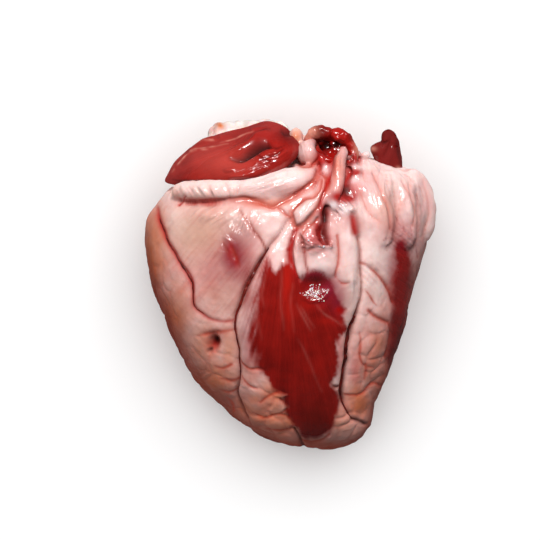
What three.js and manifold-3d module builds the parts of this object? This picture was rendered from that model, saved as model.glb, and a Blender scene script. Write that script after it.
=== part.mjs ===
// A raw lamb heart with its fat, lying on its back with the shown side up.
// Millimetres. +X is to the right of the shown side, +Y runs from the apex to the base where the
// vessels were cut, and +Z is up from the table. The origin is on the table, under the middle.
import * as THREE from "three";
import { mergeVertices } from "three/addons/utils/BufferGeometryUtils.js";
import Module from "manifold-3d";

const wasm = await Module();
wasm.setup();

// Driving sizes
const LENGTH = 93; // apex to the top of the cut atrium
const WIDTH = 81; // across the ventricles
const THICKNESS = 54; // table to the crown of the fat

const APEX_Y = -LENGTH / 2;
const BASE_Y = 0.4 * LENGTH; // where the ventricles close under the atria
const APEX_ROUNDING = 10; // length over which the apex closes
const BASE_ROUNDING = 12;
const FRONT_FULLNESS = 2.2; // exponent of the oval section, 2 is an ellipse
const BACK_FULLNESS = 2.5;
const SAG = 1; // how far the resting side is pressed flat

// Cross-sections of the ventricles from apex to base, as shares of the driving sizes. The waist is
// the level where the heart is widest; rise goes from there to the front, drop to the back.
const SECTIONS = [
  { y: -0.5, left: -0.115, right: 0.315, waist: 0.34, rise: 0.19, drop: 0.19 },
  { y: -0.393, left: -0.207, right: 0.294, waist: 0.35, rise: 0.29, drop: 0.27 },
  { y: -0.295, left: -0.318, right: 0.334, waist: 0.37, rise: 0.39, drop: 0.34 },
  { y: -0.199, left: -0.383, right: 0.376, waist: 0.39, rise: 0.475, drop: 0.395 },
  { y: -0.102, left: -0.431, right: 0.409, waist: 0.405, rise: 0.54, drop: 0.42 },
  { y: -0.006, left: -0.472, right: 0.43, waist: 0.42, rise: 0.57, drop: 0.438 },
  { y: 0.09, left: -0.494, right: 0.466, waist: 0.43, rise: 0.57, drop: 0.448 },
  { y: 0.187, left: -0.498, right: 0.492, waist: 0.44, rise: 0.545, drop: 0.455 },
  { y: 0.25, left: -0.456, right: 0.5, waist: 0.445, rise: 0.515, drop: 0.44 },
  { y: 0.31, left: -0.395, right: 0.5, waist: 0.45, rise: 0.48, drop: 0.41 },
  { y: 0.355, left: -0.36, right: 0.5, waist: 0.45, rise: 0.44, drop: 0.38 },
  { y: 0.4, left: -0.32, right: 0.5, waist: 0.45, rise: 0.4, drop: 0.34 },
];

// The furrows of the two front vessels, from base to apex. The mesh's columns of points follow
// them: each column is counted from the left waist.
const FRONT_COLUMNS = 46;
const BACK_COLUMNS = 22;
const ROWS = 42;
const LEFT_VESSEL = { column: 17, path: [[0.1, 16.7], [-6.4, 9.6], [-10.5, 2.3], [-14.5, -6.6], [-15.1, -13.1], [-14, -21.5], [-14.5, -28.8], [-11.8, -36.4]] };
const RIGHT_VESSEL = { column: 31, path: [[18, 19.9], [19.3, 9.6], [19.6, -1.2], [18, -9.9], [16.3, -18], [15.3, -25.6], [12.5, -37.5]] };

// Grooves of the front as lines in plan, each with its depth and the half width of its valley.
const GROOVES = [
  { name: "left vessel", depth: 2.2, width: 2.4, path: LEFT_VESSEL.path },
  { name: "right vessel", depth: 2.1, width: 2.3, path: RIGHT_VESSEL.path },
  { name: "margin", depth: 1.2, width: 2.6, path: [[-36.3, 20.4], [-30.8, 7.8], [-27.8, 3.1], [-26.7, -4], [-22.3, -9], [-15.5, -9.5]] },
  { name: "under the atrium", depth: 2.4, width: 2.4, path: [[-37, 24.4], [-25.7, 22.4], [-14.8, 23.2], [-7.5, 23], [-3.1, 21.3], [0.1, 18.3]] },
  { name: "upper lobe", depth: 1.2, width: 2.2, path: [[-11.8, 22], [-10.7, 18.5], [-8, 13.9], [-6.4, 9.6]] },
  { name: "right lobe", depth: 1.1, width: 2.2, path: [[19.9, 5.6], [23.1, 3.4], [26.4, -1.2], [28, -6.6], [26.7, -12.1]] },
];

// Grooves of the hidden back: the hind vessel's furrow and the fold under the atria.
const BACK_GROOVES = [
  { name: "hind vessel", depth: 1.8, width: 2.8, path: [[-6, 24], [-2, 10], [3, -8], [7, -26], [9, -40]] },
  { name: "under the hind atrium", depth: 2.2, width: 2.6, path: [[-38, 23], [-20, 25], [0, 25.5], [20, 25], [38, 22]] },
];

const UP = new THREE.Vector3(0, 0, 1);

// Reads one column of a table on a smooth curve through its rows.
function reader(table, along, name, alongSize = 1, size = 1) {
  const at = table.map((row) => row[along] * alongSize);
  const values = table.map((row) => row[name] * size);
  const curve = new THREE.CubicInterpolant(at, values, 1);
  return (place) => curve.evaluate(THREE.MathUtils.clamp(place, at[0], at.at(-1)))[0];
}

const leftEdge = reader(SECTIONS, "y", "left", LENGTH, WIDTH);
const rightEdge = reader(SECTIONS, "y", "right", LENGTH, WIDTH);
const waistHeight = reader(SECTIONS, "y", "waist", LENGTH, THICKNESS);
const frontRise = reader(SECTIONS, "y", "rise", LENGTH, THICKNESS);
const backDrop = reader(SECTIONS, "y", "drop", LENGTH, THICKNESS);

// 1 along the body, falling to 0 at both ends as a quarter circle does.
function endRounding(y) {
  const pastApex = (APEX_Y + APEX_ROUNDING - y) / APEX_ROUNDING;
  const pastBase = (y - BASE_Y + BASE_ROUNDING) / BASE_ROUNDING;
  const past = Math.max(pastApex, pastBase, 0);
  return Math.sqrt(Math.max(1 - past * past, 0));
}

function centreAt(y) {
  return (leftEdge(y) + rightEdge(y)) / 2;
}

function halfWidthAt(y) {
  return ((rightEdge(y) - leftEdge(y)) / 2) * endRounding(y);
}

// Height of the ventricles' front above the table at a place in plan.
function frontHeight(x, y) {
  const across = Math.min(Math.abs(x - centreAt(y)) / Math.max(halfWidthAt(y), 1e-6), 1);
  const share = (1 - across ** FRONT_FULLNESS) ** (1 / FRONT_FULLNESS);
  return waistHeight(y) + frontRise(y) * endRounding(y) * share;
}

// A closed surface: a unit sphere whose points are moved by place(p, turn), where turn goes once
// round the sphere's axis and p.y runs along it from -1 to 1.
function mould(columns, rows, place) {
  const sphere = new THREE.SphereGeometry(1, columns, rows);
  sphere.deleteAttribute("normal");
  sphere.deleteAttribute("uv");
  const geometry = mergeVertices(sphere, 1e-5);
  const points = geometry.attributes.position;
  const p = new THREE.Vector3();
  for (let i = 0; i < points.count; i++) {
    p.fromBufferAttribute(points, i);
    const turn = THREE.MathUtils.euclideanModulo(Math.atan2(p.z, -p.x), 2 * Math.PI);
    const moved = place(p, turn);
    points.setXYZ(i, moved.x, moved.y, moved.z);
  }
  return geometry;
}

// A length of fat, flesh or vessel along a path, with round ends.
function roll(path, startRadius, endRadius, { blunt = 3.6, columns = 11, rows = 10 } = {}) {
  const curve = new THREE.CatmullRomCurve3(path.map((p) => new THREE.Vector3(...p)));
  return mould(columns, rows, (p, turn) => {
    const along = (p.y + 1) / 2;
    const tangent = curve.getTangent(along);
    const side = new THREE.Vector3().crossVectors(tangent, UP).normalize();
    const rise = new THREE.Vector3().crossVectors(side, tangent);
    const closing = (1 - Math.min(Math.abs(p.y), 1) ** blunt) ** (1 / blunt);
    const radius = THREE.MathUtils.lerp(startRadius, endRadius, along) * closing;
    return curve
      .getPoint(along)
      .addScaledVector(side, -Math.cos(turn) * radius)
      .addScaledVector(rise, Math.sin(turn) * radius);
  });
}

// A roll that lies on the ventricles' front: its places are in plan, and sunk is how deep its
// middle lies below the surface there.
function rollOnFront(path, startRadius, endRadius, sunk, shape) {
  const seated = path.map(([x, y]) => [x, y, frontHeight(x, y) - sunk]);
  return roll(seated, startRadius, endRadius, shape);
}

// A rounded lump.
function lump([x, y, z], [rx, ry, rz], columns = 12, rows = 8) {
  return mould(columns, rows, (p) => new THREE.Vector3(x + p.x * rx, y + p.y * ry, z + p.z * rz));
}

// Distance in plan from (x, y) to a line of points.
function distanceToPath(x, y, path) {
  const segment = new THREE.Line3();
  const nearest = new THREE.Vector3();
  const here = new THREE.Vector3(x, y, 0);
  let best = Infinity;
  for (let i = 1; i < path.length; i++) {
    segment.start.set(...path[i - 1], 0);
    segment.end.set(...path[i], 0);
    segment.closestPointToPoint(here, true, nearest);
    best = Math.min(best, nearest.distanceTo(here));
  }
  return best;
}

// How deep the deepest of some grooves is at a place in plan.
function grooveDepth(x, y, grooves) {
  const depths = grooves.map((g) => g.depth * Math.exp(-((distanceToPath(x, y, g.path) / g.width) ** 2)));
  return Math.max(...depths);
}

// Where a furrow runs, as a share of the half width from -1 at the left to 1 at the right. Past its
// ends it keeps the share that it has there.
function furrowShare({ path }) {
  const points = path.map(([x, y]) => ({ x, y })).reverse();
  const across = reader(points, "y", "x");
  return (y) => {
    const along = THREE.MathUtils.clamp(y, points[0].y, points.at(-1).y);
    return (across(along) - centreAt(along)) / halfWidthAt(along);
  };
}

// Share of the half width at which an even column would lie.
function evenShare(column) {
  const lean = -Math.cos((Math.PI * column) / FRONT_COLUMNS);
  return Math.sign(lean) * Math.abs(lean) ** (2 / FRONT_FULLNESS);
}

const furrows = [LEFT_VESSEL, RIGHT_VESSEL].map((furrow) => ({
  even: evenShare(furrow.column),
  share: furrowShare(furrow),
}));

// Moves a column sideways so that the furrows' own columns lie in the furrows.
function followFurrows(share, y) {
  const from = [-1, ...furrows.map((f) => f.even), 1];
  const to = [-1, ...furrows.map((f) => f.share(y)), 1];
  const piece = share <= from[1] ? 0 : share <= from[2] ? 1 : 2;
  return THREE.MathUtils.mapLinear(share, from[piece], from[piece + 1], to[piece], to[piece + 1]);
}

// A place on the smooth ventricles. Column counts from the left waist over the front and back.
function ventriclePoint(column, y) {
  const height = waistHeight(y);
  const close = endRounding(y);
  if (column <= FRONT_COLUMNS) {
    const across = followFurrows(evenShare(column), y);
    const share = (1 - Math.abs(across) ** FRONT_FULLNESS) ** (1 / FRONT_FULLNESS);
    return new THREE.Vector3(centreAt(y) + halfWidthAt(y) * across, y, height + frontRise(y) * close * share);
  }
  const turn = (Math.PI * (column - FRONT_COLUMNS)) / BACK_COLUMNS;
  const across = Math.sign(Math.cos(turn)) * Math.abs(Math.cos(turn)) ** (2 / BACK_FULLNESS);
  const share = Math.sin(turn) ** (2 / BACK_FULLNESS);
  return new THREE.Vector3(centreAt(y) + halfWidthAt(y) * across, y, height - backDrop(y) * close * share);
}

// The two ventricles: an oval loft through the sections, with its grooves pressed in.
function ventricles() {
  const columns = FRONT_COLUMNS + BACK_COLUMNS;
  const geometry = mould(columns, ROWS, (p, turn) => {
    const column = Math.round((turn / (2 * Math.PI)) * columns) % columns;
    return ventriclePoint(column, THREE.MathUtils.mapLinear(p.y, -1, 1, APEX_Y, BASE_Y));
  });
  geometry.computeVertexNormals();
  const { position, normal } = geometry.attributes;
  for (let i = 0; i < position.count; i++) {
    const point = new THREE.Vector3().fromBufferAttribute(position, i);
    const outward = new THREE.Vector3().fromBufferAttribute(normal, i);
    const grooves = point.z > waistHeight(point.y) ? GROOVES : BACK_GROOVES;
    const facing = THREE.MathUtils.smoothstep(Math.abs(outward.z), 0.1, 0.5);
    point.addScaledVector(outward, -grooveDepth(point.x, point.y, grooves) * facing);
    position.setXYZ(i, point.x, point.y, Math.max(point.z, SAG));
  }
  return geometry;
}

// A leaf of cut muscle along X, made of slices across it. Each slice has its place along the leaf,
// its low and high edge, the height of its middle and its thickness.
function leaf(slices, slope, columns, rows) {
  const [low, high, middle, thickness] = ["low", "high", "middle", "thickness"].map((name) => reader(slices, "at", name));
  return mould(columns, rows, (p, turn) => {
    const at = THREE.MathUtils.mapLinear(p.y, -1, 1, slices[0].at, slices.at(-1).at);
    const close = Math.sqrt(Math.max(1 - Math.abs(p.y) ** 8, 0));
    const half = ((high(at) - low(at)) / 2) * close;
    const across = Math.sign(Math.cos(turn)) * Math.abs(Math.cos(turn)) ** 0.8;
    const height = middle(at) - slope * half * (across + 0.4 * across ** 2);
    const lift = Math.sin(turn) * (thickness(at) / 2) * close;
    return new THREE.Vector3(at, (low(at) + high(at)) / 2 + half * across, height + lift);
  });
}

// The cut atrial wall that hangs over the front as a dark flap with a pointed left end. Its slices
// run from left to right.
const FLAP_SLOPE = 0.75; // how fast it falls away towards its upper edge
const FLAP_SLICES = [
  { at: -34.4, low: 27.6, high: 30, middle: 27, thickness: 2.4 },
  { at: -31.4, low: 28, high: 34.4, middle: 31.5, thickness: 6 },
  { at: -25.5, low: 28, high: 38, middle: 37, thickness: 8.5 },
  { at: -19.5, low: 27.6, high: 41.2, middle: 40.5, thickness: 9.5 },
  { at: -13, low: 28, high: 42.5, middle: 42.5, thickness: 9.5 },
  { at: -7, low: 30.2, high: 44.9, middle: 43.5, thickness: 9 },
  { at: -2, low: 32, high: 44, middle: 44, thickness: 8.5 },
  { at: 1.2, low: 34.4, high: 41.4, middle: 43.5, thickness: 7 },
  { at: 2.4, low: 36.4, high: 40, middle: 43, thickness: 4 },
];

// The small dark auricle that stands up at the right, a pointed ear. Its slices run upwards, and
// their edges are on the minus side because the leaf is turned a quarter to point along +Y.
const EAR_SLOPE = -0.25;
const EAR_SLICES = [
  { at: 24, low: -33, high: -22, middle: 28, thickness: 9 },
  { at: 31, low: -32, high: -22.2, middle: 29.5, thickness: 9 },
  { at: 36, low: -30.6, high: -22.6, middle: 31, thickness: 7.5 },
  { at: 39.5, low: -29.8, high: -24.9, middle: 31.6, thickness: 6 },
  { at: 42, low: -28.9, high: -25.4, middle: 32, thickness: 4.6 },
  { at: 43.6, low: -28.4, high: -26.2, middle: 32.2, thickness: 3 },
];

// The cut mouth of the great vessel: a torn, uneven lip round a short hole.
const MOUTH = new THREE.Vector3(11.6, 38.8, 43);
const LIP = { radius: 4, thickness: 1.9, stretch: 1.2, height: 1.5, waves: 5, waviness: 0.45, tilt: -0.5 };

function vesselLip() {
  const ring = new THREE.TorusGeometry(LIP.radius, LIP.thickness, 9, 22);
  ring.deleteAttribute("normal");
  ring.deleteAttribute("uv");
  const geometry = mergeVertices(ring, 1e-4);
  const points = geometry.attributes.position;
  for (let i = 0; i < points.count; i++) {
    const p = new THREE.Vector3().fromBufferAttribute(points, i);
    const turn = Math.atan2(p.y, p.x);
    const tear = LIP.waviness * Math.cos(LIP.waves * turn);
    points.setXYZ(i, p.x * LIP.stretch, p.y, p.z * LIP.height + tear);
  }
  geometry.rotateX(LIP.tilt);
  return geometry.translate(MOUTH.x, MOUTH.y, MOUTH.z - LIP.thickness);
}

// Fat, atria and vessels round the base.
function baseForms() {
  const long = { columns: 14, rows: 16 };
  const ridge = { rows: 12 };
  return [
    lump([-7, 30, 24], [26, 14.6, 17], 28, 18), // the atria, behind the flap
    lump([13, 29, 30], [14, 12.2, 16], 20, 14), // root of the great vessels
    lump([-13, 37, 27], [9.5, 9.6, 9], 16, 12), // pale wall that shows above the flap
    rollOnFront([[-33.6, 25.3], [-25, 25.6], [-16.2, 25.4], [-7.2, 26.4], [0, 28], [5, 29.4]], 2.2, 5.6, 0.4, long),
    lump([5.3, 36.2, 42.5], [3.3, 3.9, 5]), // pink lobe beside the mouth
    lump([1.8, 40.6, 39], [2, 2.8, 4]), // orange nodule at the flap's end
    rollOnFront([[0.6, 16.4], [9.4, 23.8]], 3.5, 3.8, 1.5),
    rollOnFront([[9.6, 32], [9.4, 26], [6.6, 20.5]], 2.5, 2.7, 0.4),
    rollOnFront([[3.4, 18], [7.2, 7.6]], 3.6, 3.8, 2.4),
    rollOnFront([[1.4, 14], [2.2, 0.6]], 2.6, 2.4, 1.6),
    rollOnFront([[7.4, 9.4], [12, 2]], 5, 4.4, 3.7),
    roll([[14.4, 37, 43], [13.9, 31, 47.4], [12.4, 25, 50], [11, 20, 49.6]], 2.7, 3.2, long),
    rollOnFront([[14, 24.6], [15.2, 13], [15.6, -1]], 4.4, 4.2, 3, ridge),
    rollOnFront([[18.8, 33], [23.4, 23], [24.4, 9]], 4.8, 4.6, 3.3, ridge), // ridges of the shoulder
    rollOnFront([[26, 31], [30.4, 22], [31, 10]], 4.4, 4.4, 3.1, ridge),
    roll([[31.6, 31.4, 35], [36.2, 23.4, 32.5], [36.4, 12, 29.5]], 4.6, 4, ridge),
  ];
}

// Hollows: the mouth's short hole, the cleft under the great vessel, the wet pit in the muscle,
// and the small puncture at the lower left.
function hollows() {
  const pit = frontHeight(7.1, -0.6);
  const cleft = frontHeight(9.6, 15);
  const puncture = frontHeight(-20.9, -15.7);
  return [
    roll([[11.3, 38.4, 36.5], [11.5, 38.9, 47]], 2.3, 2.9, { columns: 10, rows: 8 }),
    roll([[9.2, 20.4, cleft + 1.6], [9, 16, cleft - 1.6], [10.3, 11.4, cleft + 1.2]], 1.2, 1.5),
    lump([7.1, -0.8, pit + 1.8], [3.9, 3.1, 3.2]),
    lump([-20.9, -15.7, puncture], [1.2, 2.1, 2.4], 9, 8),
  ];
}

// A closed geometry as a solid, and back.
function solid(geometry) {
  const bare = geometry.clone();
  bare.deleteAttribute("normal");
  const merged = mergeVertices(bare, 1e-4);
  const mesh = new wasm.Mesh({
    numProp: 3,
    vertProperties: merged.attributes.position.array,
    triVerts: new Uint32Array(merged.index.array),
  });
  return new wasm.Manifold(mesh);
}

function geometryOf(manifold) {
  const { vertProperties, triVerts } = manifold.getMesh();
  const geometry = new THREE.BufferGeometry();
  geometry.setAttribute("position", new THREE.BufferAttribute(vertProperties, 3));
  geometry.setIndex(new THREE.BufferAttribute(triVerts, 1));
  return geometry;
}

const flap = leaf(FLAP_SLICES, FLAP_SLOPE, 20, 20);
const ear = leaf(EAR_SLICES, EAR_SLOPE, 16, 14).rotateZ(Math.PI / 2);
const forms = [ventricles(), flap, ear, vesselLip(), ...baseForms()];
let flesh = forms.map(solid).reduce((whole, form) => whole.add(form));
flesh = hollows().map(solid).reduce((whole, hollow) => whole.subtract(hollow), flesh);

const heartGeometry = geometryOf(flesh).translate(0, 0, -SAG);
heartGeometry.computeVertexNormals();
const heart = new THREE.Mesh(
  heartGeometry,
  new THREE.MeshStandardMaterial({ color: 0xc98a78, roughness: 0.35, metalness: 0 }),
);
heart.name = "heart";

const part = new THREE.Group();
part.add(heart);

export default part;
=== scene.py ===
# %% [markdown]
# # A raw lamb heart, seen from straight above
# The heart lies on its back. Its apex points down the picture and its cut base is at the top. A
# white coat of fat covers most of it, dark muscle shows through in the middle and at the right,
# and a dark flap of atrium hangs over the fat at the upper left. We work in millimetres and turn
# them into metres when a mesh is made, because flesh is easier to think about in millimetres.

# %% Load the frame
from itertools import product

import bpy
import numpy as np
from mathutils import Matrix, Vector
from mathutils.kdtree import KDTree


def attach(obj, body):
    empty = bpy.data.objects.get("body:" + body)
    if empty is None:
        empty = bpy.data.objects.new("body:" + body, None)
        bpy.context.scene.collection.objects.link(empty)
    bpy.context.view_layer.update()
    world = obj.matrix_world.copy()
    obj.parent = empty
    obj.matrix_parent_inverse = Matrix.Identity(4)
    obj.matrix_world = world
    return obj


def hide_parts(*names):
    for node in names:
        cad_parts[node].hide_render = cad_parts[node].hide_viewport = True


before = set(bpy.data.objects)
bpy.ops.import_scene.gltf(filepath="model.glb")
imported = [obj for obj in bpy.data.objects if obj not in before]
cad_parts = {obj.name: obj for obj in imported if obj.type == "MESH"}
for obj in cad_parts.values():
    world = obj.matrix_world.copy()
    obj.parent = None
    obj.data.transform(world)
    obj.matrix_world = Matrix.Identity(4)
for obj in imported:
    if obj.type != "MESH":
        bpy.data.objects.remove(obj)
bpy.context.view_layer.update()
scene = bpy.context.scene

# %% [markdown]
# ## The camera
# The picture was taken from straight above with a long lens, so the rim of the heart shows but its
# sides don't. Every place that we read off the picture is a pixel, and `seen_at` turns points of
# the heart into those pixels. A fold or a colour that we draw in pixels then lands on the right
# flesh, however high that flesh stands.

# %% Camera straight above
PIXEL = 0.28  # millimetres to a pixel, on the plane where the outline lies
OUTLINE_HEIGHT = 22.0
CAMERA_X, CAMERA_Y = -5.32, 4.2
CAMERA_DISTANCE = 756.0
MIDDLE_PIXEL = 270
LENS = 180
NEAR_CLIP = 0.01  # metres


def placed(name, data):
    """A new object in the scene."""
    thing = bpy.data.objects.new(name, data)
    scene.collection.objects.link(thing)
    return thing


camera = placed("camera", bpy.data.cameras.new("camera"))
camera.location = (CAMERA_X / 1000, CAMERA_Y / 1000, (OUTLINE_HEIGHT + CAMERA_DISTANCE) / 1000)
camera.data.lens = LENS
camera.data.clip_start = NEAR_CLIP
scene.camera = camera


def seen_at(points):
    """The pixels, right and down, at which points in millimetres show in the picture."""
    nearer = (CAMERA_DISTANCE + OUTLINE_HEIGHT - points[:, 2]) / CAMERA_DISTANCE
    right = MIDDLE_PIXEL + (points[:, 0] - CAMERA_X) / (PIXEL * nearer)
    down = MIDDLE_PIXEL - (points[:, 1] - CAMERA_Y) / (PIXEL * nearer)
    return np.stack([right, down], axis=1)


# %% [markdown]
# ## Small tools
# A heart has no straight edge, so its shapes come from smooth curves through a few measured
# places. Noise in lumps of a known size stands in for the unevenness of flesh; it is drawn from a
# seeded table, so each run makes the same heart.

# %% Curves, noise and soft steps
def curve_through(at, values):
    """A smooth curve through measured values. The answer is a function of place."""
    at, values = np.asarray(at, float), np.asarray(values, float)
    slopes = np.empty(len(at))
    slopes[1:-1] = (values[2:] - values[:-2]) / (at[2:] - at[:-2])
    slopes[0] = (values[1] - values[0]) / (at[1] - at[0])
    slopes[-1] = (values[-1] - values[-2]) / (at[-1] - at[-2])

    def read(place):
        place = np.clip(place, at[0], at[-1])
        i = np.clip(np.searchsorted(at, place) - 1, 0, len(at) - 2)
        gap = at[i + 1] - at[i]
        t = (place - at[i]) / gap
        ends = values[i] * (1 + 2 * t) * (1 - t) ** 2 + values[i + 1] * t * t * (3 - 2 * t)
        return ends + gap * (slopes[i] * t * (1 - t) ** 2 + slopes[i + 1] * t * t * (t - 1))

    return read


def way_through(corners, place_size):
    """A smooth way through corners, whose first numbers are a place. The answer is (function of
    the distance along the way, whole distance)."""
    steps = np.linalg.norm(np.diff(corners[:, :place_size], axis=0), axis=1)
    reach = np.concatenate([[0], np.cumsum(steps)])
    route = [curve_through(reach, values) for values in corners.T]
    return lambda distance: np.stack([part(distance) for part in route], axis=-1), reach[-1]


def soft_step(value, low, high):
    """0 below low, 1 above high, and a smooth rise between them."""
    t = np.clip((value - low) / (high - low), 0, 1)
    return t * t * (3 - 2 * t)


def bell(away, wide):
    """1 at no distance, and a smooth fall to nothing past that width."""
    return np.exp(-((away / wide) ** 2))


TABLE_SIDE = 64  # numbers along each side of the table that the noise is drawn from
LOBULE_SIDE = 32
FAR_OFF = 1000  # cells, so that no place has a negative cell


def mottle(places, size, seed):
    """Smooth noise from -1 to 1 with lumps of about that size, for places in 2 or 3 numbers."""
    table = np.random.default_rng(seed).uniform(-1, 1, (TABLE_SIDE,) * 3)
    cell = np.asarray(places, float) / size + FAR_OFF
    if cell.shape[1] == 2:
        cell = np.column_stack([cell, np.full(len(cell), 0.5)])
    corner = np.floor(cell).astype(int)
    part = cell - corner
    part = part * part * (3 - 2 * part)
    total = np.zeros(len(cell))
    for step in product((0, 1), repeat=3):
        weight = np.prod(np.where(step, part, 1 - part), axis=1)
        i, j, k = ((corner + step) % TABLE_SIDE).T
        total += weight * table[i, j, k]
    return total


def uneven(places, *lumps):
    """Noise in lumps of several sizes, added up. Lumps are (size, height, seed)."""
    return sum(mottle(places, size, seed) * height for size, height, seed in lumps)


def streaky(across, along, width, length, seed):
    """Noise from -1 to 1 in streaks, of that width across and that length along."""
    return mottle(np.stack([across / width, along / length], axis=1), 1.0, seed)


def lobule_border(places, size, seed):
    """How far each point is from the border between two lobules. The lobules' middles are
    scattered by chance, one to each cell of a grid."""
    stray = 0.42  # cells that a lobule's middle lies off its cell's middle, at most
    shift = np.random.default_rng(seed).uniform(-stray, stray, (*(LOBULE_SIDE,) * 3, 3))
    cell = places / size + FAR_OFF
    corner = np.floor(cell).astype(int)
    first, second = np.full(len(cell), np.inf), np.full(len(cell), np.inf)
    for step in product((-1, 0, 1), repeat=3):
        here = corner + step
        i, j, k = (here % LOBULE_SIDE).T
        gap = np.linalg.norm(cell - here - 0.5 - shift[i, j, k], axis=1)
        second = np.minimum(second, np.maximum(gap, first))
        first = np.minimum(first, gap)
    return (second - first) * size / 2


# %% Closed surfaces
def unit(vectors):
    return vectors / np.maximum(np.linalg.norm(vectors, axis=-1, keepdims=True), 1e-9)


def mould(columns, rows, place):
    """A closed surface with a pole at each end: place(turn, along) gives its points, where turn
    goes once round and along runs from -1 to 1. The answer is (points, faces)."""
    turn = np.arange(columns)[None, :] * 2 * np.pi / columns
    along = -np.cos(np.linspace(0, np.pi, rows + 1))[:, None]
    grid = place(*np.broadcast_arrays(turn, along))
    points = np.vstack([grid[:1].mean(axis=1), grid[1:-1].reshape(-1, 3), grid[-1:].mean(axis=1)])
    last = len(points) - 1
    faces = []
    for c in range(columns):
        d = (c + 1) % columns
        faces.append((0, 1 + d, 1 + c))
        faces.append((last, last - columns + c, last - columns + d))
        for r in range(rows - 2):
            low, high = 1 + r * columns, 1 + (r + 1) * columns
            faces.append((low + c, low + d, high + d, high + c))
    return facing_out(points, faces)


def facing_out(points, faces):
    """The same surface, turned right side out if it was inside out."""
    first = np.array([f[:3] for f in faces])
    a, b, c = (points[first[:, i]] for i in range(3))
    volume = np.einsum("ij,ij->i", a - points.mean(axis=0), np.cross(b - a, c - a)).sum()
    return (points, faces) if volume > 0 else (points, [f[::-1] for f in faces])


def joined(forms):
    """Several surfaces as one list of points and faces."""
    points, faces, start = [], [], 0
    for form_points, form_faces in forms:
        points.append(form_points)
        faces += [tuple(v + start for v in face) for face in form_faces]
        start += len(form_points)
    return np.vstack(points), faces


def piece_from(name, points, faces):
    """A smooth-shaded object from points in millimetres."""
    mesh = bpy.data.meshes.new(name)
    mesh.from_pydata((points / 1000).tolist(), [], faces)
    mesh.shade_smooth()
    return placed(name, mesh)


def settled_mesh(thing, name):
    """The mesh of an object with its modifiers worked in."""
    graph = bpy.context.evaluated_depsgraph_get()
    mesh = bpy.data.meshes.new_from_object(thing.evaluated_get(graph))
    mesh.name = name
    return mesh


def points_of(piece):
    """A piece's points in millimetres and their outward directions."""
    count = len(piece.data.vertices)
    points, normals = np.empty(count * 3), np.empty(count * 3)
    piece.data.vertices.foreach_get("co", points)
    piece.data.vertices.foreach_get("normal", normals)
    return points.reshape(-1, 3) * 1000, normals.reshape(-1, 3)


def move_points(piece, points):
    piece.data.vertices.foreach_set("co", (points / 1000).ravel())
    piece.data.update()


# %% [markdown]
# ## The body of the heart
# The two ventricles make one egg-like body. We measure its left and right edge at a dozen places
# along its length, add the height of its waist and how far it rises above and drops below that,
# and let a smooth loft run through them. The ends close like a quarter circle. The side that it
# lies on is pressed flat, as soft flesh is.

# %% Sections of the ventricles
LENGTH, WIDTH, THICKNESS = 93.0, 81.0, 54.0
APEX_Y, BASE_Y = -0.5 * LENGTH, 0.4 * LENGTH
APEX_ROUNDING, BASE_ROUNDING = 10.0, 12.0
FRONT_FULLNESS, BACK_FULLNESS = 2.2, 2.5
SAG = 1.0

# place along the length, left edge, right edge, waist height, rise to the front, drop to the back
SECTIONS = [
    (-0.5, -0.115, 0.315, 0.34, 0.19, 0.19),
    (-0.393, -0.207, 0.294, 0.35, 0.29, 0.27),
    (-0.295, -0.318, 0.334, 0.37, 0.39, 0.34),
    (-0.199, -0.383, 0.376, 0.39, 0.475, 0.395),
    (-0.102, -0.431, 0.409, 0.405, 0.54, 0.42),
    (-0.006, -0.472, 0.43, 0.42, 0.57, 0.438),
    (0.09, -0.494, 0.466, 0.43, 0.57, 0.448),
    (0.187, -0.498, 0.492, 0.44, 0.545, 0.455),
    (0.25, -0.456, 0.5, 0.445, 0.515, 0.44),
    (0.31, -0.395, 0.5, 0.45, 0.48, 0.41),
    (0.355, -0.36, 0.5, 0.45, 0.44, 0.38),
    (0.4, -0.32, 0.5, 0.45, 0.4, 0.34),
]
section_y, *measures = np.array(SECTIONS).T
scales = (WIDTH, WIDTH, THICKNESS, THICKNESS, THICKNESS)
left_edge, right_edge, waist_height, front_rise, back_drop = [
    curve_through(section_y * LENGTH, values * scale) for values, scale in zip(measures, scales)
]


def end_rounding(y):
    """1 along the body, falling to 0 at both ends as a quarter circle does."""
    past_apex = (APEX_Y + APEX_ROUNDING - y) / APEX_ROUNDING
    past_base = (y - BASE_Y + BASE_ROUNDING) / BASE_ROUNDING
    past = np.maximum(np.maximum(past_apex, past_base), 0)
    return np.sqrt(np.maximum(1 - past * past, 0))


def oval(turn, fullness):
    """Across and up on an oval: fullness 2 is an ellipse, and more is squarer."""
    across, up = np.cos(turn), np.sin(turn)
    return np.sign(across) * np.abs(across) ** (2 / fullness), np.abs(up) ** (2 / fullness)


def ventricle(turn, along):
    y = APEX_Y + (along + 1) / 2 * (BASE_Y - APEX_Y)
    close = end_rounding(y)
    front = np.sin(turn) > 0
    across, up = oval(turn, np.where(front, FRONT_FULLNESS, BACK_FULLNESS))
    x = (left_edge(y) + right_edge(y)) / 2 + (right_edge(y) - left_edge(y)) / 2 * close * across
    z = waist_height(y) + np.where(front, front_rise(y), -back_drop(y)) * close * up
    return np.stack([x, y, np.maximum(z, SAG)], axis=-1)


def front_height(x, y):
    """Height of the body's front at a place in plan."""
    centre = (left_edge(y) + right_edge(y)) / 2
    half = (right_edge(y) - left_edge(y)) / 2 * end_rounding(y)
    across = np.minimum(np.abs(x - centre) / half, 1)
    share = (1 - across**FRONT_FULLNESS) ** (1 / FRONT_FULLNESS)
    return waist_height(y) + front_rise(y) * end_rounding(y) * share


# %% [markdown]
# ## Fat, atria and vessels round the base
# What crowds round the base is soft and round: rolls of fat, lobes, the great vessel and the
# walls of the atria. Rolls follow a path and lobes are eggs. Each is sunk into its neighbours,
# and a voxel remesh then welds them all into one skin, which is how clay sketches are joined.

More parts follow.
